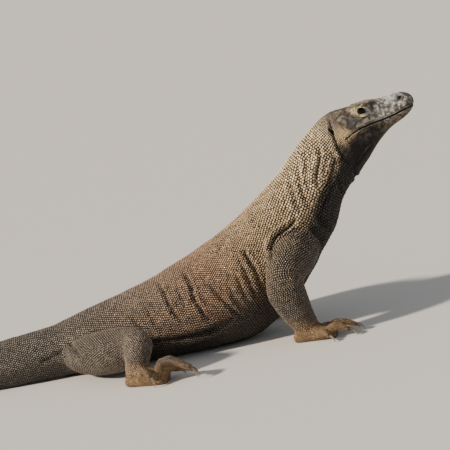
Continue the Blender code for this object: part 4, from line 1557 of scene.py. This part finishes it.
@dataclass
class Coat:
    """All the scales: plates on the lips, grains on the lids, rings on body and legs, and dots."""

    frame: Frame
    skin: Skin
    most: int = 8900        # scales in one piece
    # Share of the line from its start, spacing of scales.
    body_pitch: tuple = ((0.0, 0.0042), (0.10, 0.0050), (0.25, 0.0060), (0.42, 0.0069),
                         (0.52, 0.0069), (0.60, 0.0069), (0.72, 0.0073), (0.80, 0.0082),
                         (0.86, 0.0090), (0.895, 0.0084), (0.912, 0.0058), (0.930, 0.0042),
                         (0.965, 0.0037), (1.0, 0.0033))
    arm_pitch: tuple = ((0, 0.0080), (0.5, 0.0069), (1, 0.0049))
    leg_pitch: tuple = ((0, 0.0072), (0.55, 0.0067), (1, 0.0050))
    body_shape: tuple = (0.96, 0.86, 0.25)
    limb_shape: tuple = (0.94, 0.83, 0.27)
    body_girth: float = 0.045
    snout: float = 0.022    # radius of the snout's end, which the last rings close
    # Size of the dots that fill the last holes, as a share of the others.
    fine: float = 0.68
    # Height over the mouth line and shift along it of the two rows of plates on the lips.
    lip_rows: tuple = ((0.0041, 0.0), (-0.0042, 0.003))
    lip_step: float = 0.0058
    lip_ends: tuple[float, float] = (0.008, 0.002)
    lip_size: tuple = (0.0028, 0.0025, 0.0010)
    # Rho and size of the rows of grains on the lids.
    grain_rows: tuple = ((1.05, 0.0015), (1.22, 0.0021), (1.40, 0.0023), (1.62, 0.0026))
    grain_shape: tuple = (0.5, 0.48, 0.28)
    # For rings, dots and fine dots: how much of its room a scale must have, and rounds of pushing.
    stages: tuple = ((0.68, 6), (0.76, 3), (0.80, 2))
    # Pieces along the spine, with the shares where each begins and ends.
    stretches: tuple = (("neck", 0.81, 2), ("trunk_front", 0.66, 0.81), ("trunk_rear", 0.50, 0.66),
                        ("tail_root", 0.33, 0.50), ("tail", -1, 0.33))
    lines: dict[str, CentreLine] = field(default_factory=dict)

    def _limb(self, kind: str, side: str) -> Rows:
        """Returns the rows of one arm or leg, from its nodes."""
        girth, pitch, foot, roots = {
            "arm": (0.045, self.arm_pitch, "hand", ("trunk", "neck")),
            "leg": (0.055, self.leg_pitch, "hind_foot", ("trunk", "tail_base")),
        }[kind]
        upper, lower = (f"{start}_{side}" for start in LIMBS[kind])
        high = self.frame.touch(upper, *roots)
        middle = self.frame.touch(lower, upper)
        end = self.frame.touch(f"{foot}_{side}", lower)
        into = high - unit(middle - high) * girth * 0.9
        line = CentreLine(np.array([into, high, middle, end + (end - middle) * 0.15]))
        self.lines[f"{kind}_{side}"] = line
        return Rows(line, pitch, girth, self.limb_shape, (0.0, 1.0), jitter=0.09)

    def _lips(self) -> Roots:
        """Returns larger plates along both sides of the mouth."""
        mouth = self.skin.mouth
        way = walked(mouth)
        at = np.arange(self.lip_ends[0], way[-1] - self.lip_ends[1], self.lip_step)
        x, z = read_between(at, way, mouth).T
        parts = []
        for side in BOTH:
            for up, shift in self.lip_rows:
                start = np.stack([x + shift, np.full(len(x), 0.2 * side), z + up], 1)
                aim = np.tile((0.0, -side, 0.0), (len(x), 1))
                place = land(self.skin.obj, start, aim)["place"]
                parts.append(Roots.alike(place, (-1.0, 0, -0.3), self.lip_size))
        return Roots.join(parts)

    def _grains(self) -> Roots:
        """Returns small grains in rings on the lids."""
        parts = []
        for lids in self.skin.lids:
            for ring, (rho, size) in enumerate(self.grain_rows):
                around = math.pi * rho * (lids.half_length + lids.half_height)
                count = int(around / (size * 1.05))
                turn = (np.arange(count) + 0.5 * (ring % 2)) / count * math.tau
                place = lids.meet(lids.plane(np.full(count, rho), turn), self.skin.obj)
                grains = Roots.alike(place, (0, 0, 0), [size * share for share in self.grain_shape])
                grains.lie = unit(np.roll(place, -1, 0) - np.roll(place, 1, 0))
                parts.append(grains)
        return Roots.join(parts)

    def lay(self) -> dict[str, Roots]:
        """Lays all the roots, by set, the most wanted first."""
        skin = self.skin
        body = Rows(skin.line, self.body_pitch, self.body_girth, self.body_shape, (0.003, 0.998),
                    cap=self.snout)
        laid = {"lips": self._lips(), "lids": self._grains(), "body": body.lay(skin.obj, 1)}
        for number, side in enumerate(SIDES):
            for kind, seed in (("arm", 10), ("leg", 20)):
                laid[f"{kind}_{side}"] = self._limb(kind, side).lay(skin.obj, seed + number)
        for kind, share, seed in (("dots", 1.0, 30), ("fine", self.fine, 90)):
            laid[kind] = Roots.join([
                Dots(number, share * Part.of(name).spacing, seed + number).lay(skin.obj)
                for number, name in enumerate(skin.names) if Part.of(name).spacing])
        return laid

    def _stands(self, place: Array, kinds: Array, names: list[str], owner: Array) -> Array:
        """Works out which roots may stay.

        Args:
            place, kinds: where each root stands, and the number of its set.
            names: the sets' names.
            owner: the number of the flesh node under each root.

        Returns:
            True for roots on their own flesh and out of eyes, mouth, nostrils and ears.
        """
        keep = np.zeros(len(kinds), bool)
        for number, name in enumerate(names):
            kind, _, side = name.partition("_")
            flesh = ("tail", "trunk", "neck", *SKULL, "eye")
            if kind in LIMBS:
                flesh = tuple(f"{start}_{side}" for start in LIMBS[kind])
            elif kind in ("dots", "fine"):
                flesh = ("",)
            keep |= (kinds == number) & self.skin.on(owner, *flesh)
        placed = kinds < names.index("body")    # lips and lids
        least = np.where(kinds == names.index("fine"), 1.12, 1.72)
        for lids in self.skin.lids:
            keep &= placed | (lids.rho(place) > least)
        keep &= placed | (np.abs(self.skin.mouth_gap(place)) > 0.0028)
        for pit in PITS:
            for side in BOTH:
                keep &= self.skin.pit_spread(place, pit, side) > 1.02
        return keep

    def _settle(self, roots: Roots, kinds: Array, names: list[str], share: float,
                passes: int) -> tuple[Roots, Array]:
        """Drops roots that are out of place or crowded, and spreads the rest.

        Args:
            roots, kinds: the roots, each with the number of its set.
            names: the sets' names.
            share: how much of its size each root must have free.
            passes: how often the roots are pushed apart.

        Returns:
            The roots and kinds that stay.
        """
        on = land(self.skin.obj, roots.place, labels=("owner",))
        roots.place = on["place"]
        keep = self._stands(roots.place, kinds, names, on["owner"].astype(int))
        room = roots.size[:, :2].mean(1)
        keep[keep] = thin(roots.place[keep], room[keep] * share)
        roots, kinds = roots.pick(keep), kinds[keep]
        free = kinds >= names.index("body")
        roots.place = spread(roots.place, room[keep] * 1.02, free, passes)
        return roots, kinds

    def _settled(self) -> Roots:
        """Returns all roots in their last places.

        Rings come first, then dots in what they leave, then small dots in the last holes.
        """
        laid = self.lay()
        names = list(laid)
        kinds = np.repeat(np.arange(len(names)), [len(laid[name].place) for name in names])
        roots = Roots.join(list(laid.values()))
        stage_of = np.searchsorted([names.index("dots"), names.index("fine")], kinds, "right")
        settled, their_kinds = roots.pick(stage_of < 0), kinds[:0]
        for stage, (share, passes) in enumerate(self.stages):
            joined = Roots.join([settled, roots.pick(stage_of == stage)])
            their_kinds = np.r_[their_kinds, kinds[stage_of == stage]]
            settled, their_kinds = self._settle(joined, their_kinds, names, share, passes)
        return settled

    def _tint(self, place: Array, ground: Array, owner: Array) -> Array:
        """Makes each scale lighter or darker than the markings, most on the face, in clusters."""
        rng = np.random.default_rng(7)
        face = self.skin.on(owner, *SKULL)
        uneven = np.where(face, 0.32, 0.17)
        cluster = np.where(face, 1.9 * value_noise(place, 0.0062, 41),
                           0.14 * value_noise(place, 0.0075, 42))
        shade = np.clip(np.exp(uneven * rng.normal(0, 1, len(place)) + cluster), 0.2, 2.0)
        return np.c_[np.clip(ground[:, :3] * shade[:, None], 0, 0.9), ground[:, 3]]

    def _chart(self, place: Array, line: CentreLine) -> Array:
        """Unwraps places about a centre line: length along it and angle round it, 0 to 1."""
        along, angle, far = line.nearest(place)
        # Before the line's end the unwrap goes on towards the tip, where the rings close.
        past = smoothstep(line.length - 0.004, line.length + 0.004, along)
        chart = np.stack([along + past * np.maximum(0.03 - far, 0), angle], 1)
        return (chart - chart.min(0)) / np.ptp(chart, axis=0)

    def _flat_chart(self, place: Array) -> Array:
        """Unwraps a foot as two sheets, its upper side and its sole."""
        flat = (place - place.min(0)) / np.ptp(place, axis=0)
        sheet = np.where(flat[:, 2] > 0.25, 0.02, 0.52)
        return np.stack([flat[:, 0], sheet + 0.46 * flat[:, 1]], 1)

    def _pieces(self, owner: Array, along: Array) -> dict[str, Array]:
        """Shares the scales out.

        Args:
            owner: the number of the flesh node under each scale.
            along: the share of the spine at each.

        Returns:
            Each piece's name, with True for its scales.
        """
        on = self.skin.on
        sets = {"head": on(owner, *SKULL, "eye")}
        for name, low, high in self.stretches:
            sets[name] = on(owner, "tail", "trunk", "neck") & (along >= low) & (along < high)
        for side in SIDES:
            for kind, starts in LIMBS.items():
                sets[f"{kind}_{side}"] = on(owner, *(f"{start}_{side}" for start in starts))
            for foot in FEET:
                sets[f"{foot}_{side}"] = on(owner, f"{foot}_{side}")
        return sets

    def dress(self) -> list[Object]:
        """Lays, thins and builds the coat.

        Returns:
            The coat's pieces.
        """
        roots = self._settled()
        on = land(self.skin.obj, roots.place, fields=("nx", "ny", "nz", "hollow"),
                  labels=("owner",))
        roots.place = on["place"]
        normals = unit(np.stack([on["nx"], on["ny"], on["nz"]], 1))
        owner = on["owner"].astype(int)
        # the scales take six tenths of the painted shade and highlight of the folds under them
        ground = self.skin.colour(roots.place, owner, on["hollow"] * 0.6)
        ground = self._tint(roots.place, ground, owner)
        along = self.skin.line.nearest(roots.place)[0] / self.skin.line.length
        pieces = []
        for number, (name, chosen) in enumerate(self._pieces(owner, along).items()):
            where = np.flatnonzero(chosen)
            where = where[np.argsort(along[where], kind="stable")]
            parts = max(1, math.ceil(len(where) / self.most))
            for part, some in enumerate(np.array_split(where, parts)):
                label = f"scales_{name}" + (f"_{part + 1}" if parts > 1 else "")
                place = roots.place[some]
                if name.startswith(FEET):
                    chart = self._flat_chart(place)
                else:
                    chart = self._chart(place, self.lines.get(name, self.skin.line))
                pieces.append(ScaleMesh().build(label, roots.pick(some), normals[some],
                                                ground[some], chart, 100 + number * 7 + part))
                log.info("%s: %d scales", label, len(some))
        return pieces


# ---------------------------------------------------------------- eyes and claws

@dataclass
class Eyeball:
    """A smooth eyeball with a slight cornea, in place of one eye's solid."""

    lids: Lids
    rings: int = 40
    around: int = 64
    inset: float = 0.0002       # how much smaller it is than the solid
    bulge: float = 0.0007       # height of the cornea
    iris: float = 0.45          # angle from the axis over which it bulges

    def build(self, name: str) -> Object:
        """Builds the ball in rings about the way the eye looks.

        A corner lies at the centre + radius (sin t cos u, sin t sin u, cos t).

        Args:
            name: the piece's name.

        Returns:
            The eyeball, with each corner's share of the way round to the back as "polar".
        """
        polar = np.linspace(0, math.pi, self.rings + 1)[1:-1]
        turn = np.arange(self.around) / self.around * math.tau
        grid = np.stack(np.meshgrid(polar, turn, indexing="ij"), -1).reshape(-1, 2)
        grid = np.concatenate([grid, [[0.0, 0.0], [math.pi, 0.0]]])
        t, u = grid.T
        flat = np.stack([np.sin(t) * np.cos(u), np.sin(t) * np.sin(u), np.cos(t)], 1)
        radius = self.lids.radius - self.inset + self.bulge * bell(t, self.iris)
        points = self.lids.centre + (flat * radius[:, None]) @ self.lids.axes
        k = np.arange(self.around)
        n, none = (k + 1) % self.around, np.full_like(k, -1)
        last = (len(polar) - 1) * self.around
        quads = ring_faces(len(polar), self.around)
        caps = np.concatenate([np.stack([np.full_like(k, len(points) - 2), k, n, none], 1),
                               np.stack([last + n, last + k, np.full_like(k, len(points) - 1),
                                         none], 1)])
        if self.lids.mirrored:
            quads, caps = quads[:, ::-1], caps[:, [2, 1, 0, 3]]
        mesh = make_mesh(name, points, np.concatenate([quads, caps]))
        add_values(mesh, "polar", t / math.pi)
        return make_object(name, mesh)


@dataclass
class Claw:
    """A rounded claw in place of its solid, which stays the middle of its shape."""

    name: str
    levels: int = 2
    weld: float = 0.00002   # corners nearer than this are joined
    swell: float = 0.45     # share of the way back to the solid's faces
    bury: float = 0.004     # how far the root goes back into the toe

    def build(self, node: Object) -> Object:
        """Rounds a copy of the solid and swells it back towards the solid's faces.

        Args:
            node: the claw's node.

        Returns:
            The claw, with each corner's share of the way from root to tip as "reach".
        """
        work = bmesh.new()
        work.from_mesh(node.data)
        bmesh.ops.remove_doubles(work, verts=work.verts, dist=self.weld)
        mesh = bpy.data.meshes.new(self.name)
        work.to_mesh(mesh)
        work.free()
        obj = make_object(f"horn_{self.name}", mesh)
        smooth = obj.modifiers.new("round", "SUBSURF")
        smooth.levels = smooth.render_levels = self.levels
        rounded = evaluated(obj)
        obj.modifiers.clear()
        obj.data = rounded
        bpy.data.meshes.remove(mesh)
        points = read_points(rounded)
        points += (land(node, points)["place"] - points) * self.swell
        reach = (points[:, 0] - points[:, 0].min()) / np.ptp(points[:, 0])
        root = points[reach < 0.12].mean(0)
        middle = points[(reach > 0.25) & (reach < 0.45)].mean(0)
        points += unit(root - middle) * self.bury * (1 - smoothstep(0.0, 0.22, reach))[:, None]
        move_points(rounded, points)
        rounded.shade_smooth()
        rounded.update()
        add_values(rounded, "reach", reach)
        return obj


# ---------------------------------------------------------------- materials

@dataclass(frozen=True)
class Finish:
    """A material's named numbers."""

    name: str
    roughness: float
    bump: float = 0.0       # height of the bump's grain, metres
    grain: float = 1.0      # its spacing, metres


SKIN = Finish("skin between scales", 0.82, 0.0006, 0.0022)      # dry, dark and finely grained
SCALE = Finish("scale keratin", 0.56, 0.00025, 0.0013)          # dusty, faintly shiny horn
HORN = Finish("claw horn", 0.42, 0.0002, 0.0016)                # worn and slightly polished
EYE = Finish("wet eye", 0.08)                                   # dark iris under a clear cornea
FLOOR = Finish("pale paper floor", 0.9)                         # plain and matt


@dataclass
class Palette:
    """Builds the materials."""

    horn_root: str = "#3a332c"
    horn_tip: str = "#8b7d6b"
    # Share of the way round the ball, colour: pupil, iris with its lighter rim, and beyond.
    iris: tuple = ((0.0, "#020101"), (0.15, "#020101"), (0.165, "#120b06"), (0.21, "#1d120a"),
                   (0.245, "#2a1b0f"), (0.265, "#0a0604"), (1.0, "#070403"))
    paper: str = "#e6e3de"

    def _start(self, finish: Finish) -> tuple[Material, NodeTree, Node]:
        """Returns a new material, its tree and its shader."""
        material = bpy.data.materials.new(finish.name)
        material.use_nodes = True
        tree = material.node_tree
        tree.nodes.clear()
        shader = add_node(tree, "ShaderNodeBsdfPrincipled", {"Roughness": finish.roughness})
        add_node(tree, "ShaderNodeOutputMaterial", {"Surface": shader.outputs[0]})
        return material, tree, shader

    def _grained(self, finish: Finish, colour: NodeSocket, light: NodeSocket,
                 tree: NodeTree, shader: Node) -> None:
        """Gives a shader a colour times a light, and bumps it with small cells.

        Args:
            finish: the spacing and height of the cells.
            colour: feeds the colour.
            light: feeds the number that it is multiplied by.
            tree, shader: the material's tree and its shader.
        """
        shaded = add_node(tree, "ShaderNodeVectorMath", {0: colour, "Scale": light},
                          operation="SCALE")
        tree.links.new(shaded.outputs[0], shader.inputs["Base Color"])
        where = add_node(tree, "ShaderNodeTexCoord").outputs["Object"]
        cells = add_node(tree, "ShaderNodeTexVoronoi", {"Vector": where, "Scale": 1 / finish.grain})
        bump = add_node(tree, "ShaderNodeBump",
                        {"Height": cells.outputs["Distance"], "Distance": finish.bump,
                         "Strength": 0.8}, invert=True)
        tree.links.new(bump.outputs[0], shader.inputs["Normal"])

    def skin(self) -> Material:
        """Returns the skin that shows between scales: the coat's markings darkened, partly the
        skin's own darker tone and partly painted shade between the scales.
        """
        material, tree, shader = self._start(SKIN)
        ground = add_node(tree, "ShaderNodeAttribute", attribute_name="ground").outputs["Color"]
        where = add_node(tree, "ShaderNodeTexCoord").outputs["Object"]
        noise = add_node(tree, "ShaderNodeTexNoise",
                         {"Vector": where, "Scale": 160.0, "Detail": 3.0}).outputs[0]
        # the markings darkened to three to twelve hundredths: the skin's own darker tone and
        # painted shade in the gaps between scales
        shade = add_node(tree, "ShaderNodeMapRange", {0: noise, 3: 0.03, 4: 0.12}).outputs[0]
        self._grained(SKIN, ground, shade, tree, shader)
        return material

    def scales(self) -> Material:
        """Returns the scales' horn: the markings, lighter on the crown and darker at the foot,
        partly the horn's own tone and partly a painted highlight on the crown and painted shade
        round the foot.
        """
        material, tree, shader = self._start(SCALE)
        ground = add_node(tree, "ShaderNodeAttribute", attribute_name="ground").outputs["Color"]
        crown = add_node(tree, "ShaderNodeAttribute", attribute_name="crown").outputs["Fac"]
        # painted shade at the foot of each scale and painted highlight on its crown, partly over
        # the horn's own paler crown
        shade = add_node(tree, "ShaderNodeMapRange",
                         {0: crown, 1: 0.52, 2: 1.0, 3: 0.05, 4: 2.3}).outputs[0]
        self._grained(SCALE, ground, shade, tree, shader)
        return material

    def horn(self) -> Material:
        """Returns the claws' horn, dark at the root and paler to the worn tip, with streaks."""
        material, tree, shader = self._start(HORN)
        reach = add_node(tree, "ShaderNodeAttribute", attribute_name="reach").outputs["Fac"]
        ramp = add_node(tree, "ShaderNodeMapRange", {0: reach, 1: 0.1, 2: 0.9}).outputs[0]
        mixed = add_node(tree, "ShaderNodeMix",
                         {"Factor": ramp, "A": (*linear(self.horn_root), 1),
                          "B": (*linear(self.horn_tip), 1)}, data_type="RGBA").outputs[2]
        where = add_node(tree, "ShaderNodeTexCoord").outputs["Object"]
        streak = add_node(tree, "ShaderNodeTexNoise",
                          {"Vector": where, "Scale": 220.0, "Detail": 2.0}).outputs[0]
        shade = add_node(tree, "ShaderNodeMapRange", {0: streak, 3: 0.7, 4: 1.25}).outputs[0]
        self._grained(HORN, mixed, shade, tree, shader)
        return material

    def eye(self) -> Material:
        """Returns the eye: pupil, iris and dark ball under a clear coat."""
        material, tree, shader = self._start(EYE)
        polar = add_node(tree, "ShaderNodeAttribute", attribute_name="polar").outputs["Fac"]
        ramp = add_node(tree, "ShaderNodeValToRGB", {"Fac": polar})
        band = ramp.color_ramp
        while len(band.elements) < len(self.iris):
            band.elements.new(0.5)
        for element, (where, code) in zip(band.elements, self.iris):
            element.position, element.color = where, (*linear(code), 1)
        tree.links.new(ramp.outputs[0], shader.inputs["Base Color"])
        for name, value in (("Specular IOR Level", 0.1), ("Coat Weight", 0.2),
                            ("Coat Roughness", 0.03)):
            shader.inputs[name].default_value = value
        return material

    def floor(self) -> Material:
        """Returns the plain pale floor."""
        material, _, shader = self._start(FLOOR)
        shader.inputs["Base Color"].default_value = (*linear(self.paper), 1)
        return material


# ---------------------------------------------------------------- studio

@dataclass(frozen=True)
class Lamp:
    """A soft lamp: its kind, where it hangs, its size (degrees for a sun), power and colour."""

    name: str
    kind: str
    place: tuple[float, float, float]
    size: float
    power: float
    colour: str

    def build(self, aim: Vector) -> None:
        """Hangs the lamp, facing the aim."""
        data = bpy.data.lights.new(self.name, self.kind)
        data.energy, data.color = self.power, tuple(linear(self.colour))
        if self.kind == "SUN":
            data.angle = math.radians(self.size)
        else:
            data.size = self.size
        lamp = bpy.data.objects.new(self.name, data)
        lamp.location = self.place
        lamp.rotation_euler = (aim - Vector(self.place)).to_track_quat("-Z", "Y").to_euler()
        lamp.visible_glossy = self.kind == "SUN"    # only the key glints in the eyes
        bpy.context.scene.collection.objects.link(lamp)


@dataclass
class Studio:
    """The floor, the lamps, the pale world and the camera, which keeps the view's framing."""

    palette: Palette
    distance: float = 7.0
    width: float = 1.305            # of the picture at the animal
    elevation: float = math.radians(10)
    roll: float = math.radians(12)
    back_from_snout: float = 0.607
    height: float = 0.339
    far: float = 60.0               # half the floor's width and the end of the camera's sight
    sensor: float = 36.0            # millimetres
    sky: str = "#e9ecef"
    sky_light: float = 0.38
    lamps: tuple[Lamp, ...] = (
        Lamp("key", "SUN", (-3.0, -1.05, 2.4), 5.0, 5.3, "#fff1de"),
        Lamp("fill", "AREA", (1.6, -3.9, 1.8), 3.0, 13, "#dfe9ff"),
    )

    def build(self) -> None:
        """Builds the studio."""
        target = Vector((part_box("head")[1][0] - self.back_from_snout, 0, self.height))
        corners = np.array([(-1, -1, 0), (1, -1, 0), (1, 1, 0), (-1, 1, 0)]) * self.far
        floor = make_object("floor", make_mesh("floor", corners, np.array([[0, 1, 2, 3]])))
        floor.data.materials.append(self.palette.floor())
        for lamp in self.lamps:
            lamp.build(target)
        world = bpy.data.worlds.new("studio")
        world.use_nodes = True
        sky = world.node_tree.nodes["Background"]
        sky.inputs["Color"].default_value = (*linear(self.sky), 1)
        sky.inputs["Strength"].default_value = self.sky_light
        bpy.context.scene.world = world
        self._camera(target)

    def _camera(self, target: Vector) -> None:
        """Sets the camera looking down by the elevation, turned about its own axis by the roll."""
        look = Vector((0, math.cos(self.elevation), -math.sin(self.elevation)))
        level_up = Vector((0, math.sin(self.elevation), math.cos(self.elevation)))
        right = Vector((1, 0, 0)) * math.cos(self.roll) - level_up * math.sin(self.roll)
        above = Vector((1, 0, 0)) * math.sin(self.roll) + level_up * math.cos(self.roll)
        data = bpy.data.cameras.new("camera")
        data.sensor_width, data.clip_end = self.sensor, self.far
        data.lens = self.sensor / 2 / (self.width / 2 / self.distance)
        camera = bpy.data.objects.new("camera", data)
        turned = Matrix((right, above, -look)).transposed().to_4x4()
        turned.translation = target - look * self.distance
        camera.matrix_world = turned
        bpy.context.scene.collection.objects.link(camera)
        bpy.context.scene.camera = camera


# ---------------------------------------------------------------- all together

@dataclass
class Komodo:
    """The whole animal."""

    frame: Frame
    palette: Palette

    def build(self) -> None:
        """Builds the skin, the coat, the eyes and the claws, in that order."""
        line = CentreLine(self.frame.spine_line())
        skin = Skin(self.frame, line, Markings())
        body = skin.build()
        body.data.materials.append(self.palette.skin())
        log.info("skin: %d faces", len(body.data.polygons))
        scales = self.palette.scales()
        pieces = Coat(self.frame, skin).dress()
        for piece in pieces:
            piece.data.materials.append(scales)
            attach(piece, "root")
        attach(body, "root")
        flesh = [name for name in skin.names if not name.startswith("eye")]
        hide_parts(*flesh)
        wet = self.palette.eye()
        for lids in skin.lids:
            ball = Eyeball(lids).build(lids.eye.replace("eye", "eyeball"))
            ball.data.materials.append(wet)
            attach(ball, "root")
            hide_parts(lids.eye)
        horn = self.palette.horn()
        for name in sorted(name for name in self.frame.nodes if "claw" in name):
            claw = Claw(name).build(self.frame.nodes[name])
            claw.data.materials.append(horn)
            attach(claw, "root")
            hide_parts(name)
        log.info("eyes and claws done")
        discard(skin.shell)


def main() -> None:
    """Loads the frame, dresses it and lights it."""
    logging.basicConfig(level=logging.INFO)
    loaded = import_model()
    palette = Palette()
    Komodo(Frame(loaded["nodes"]), palette).build()
    Studio(palette).build()


if __name__ == "__main__":
    main()
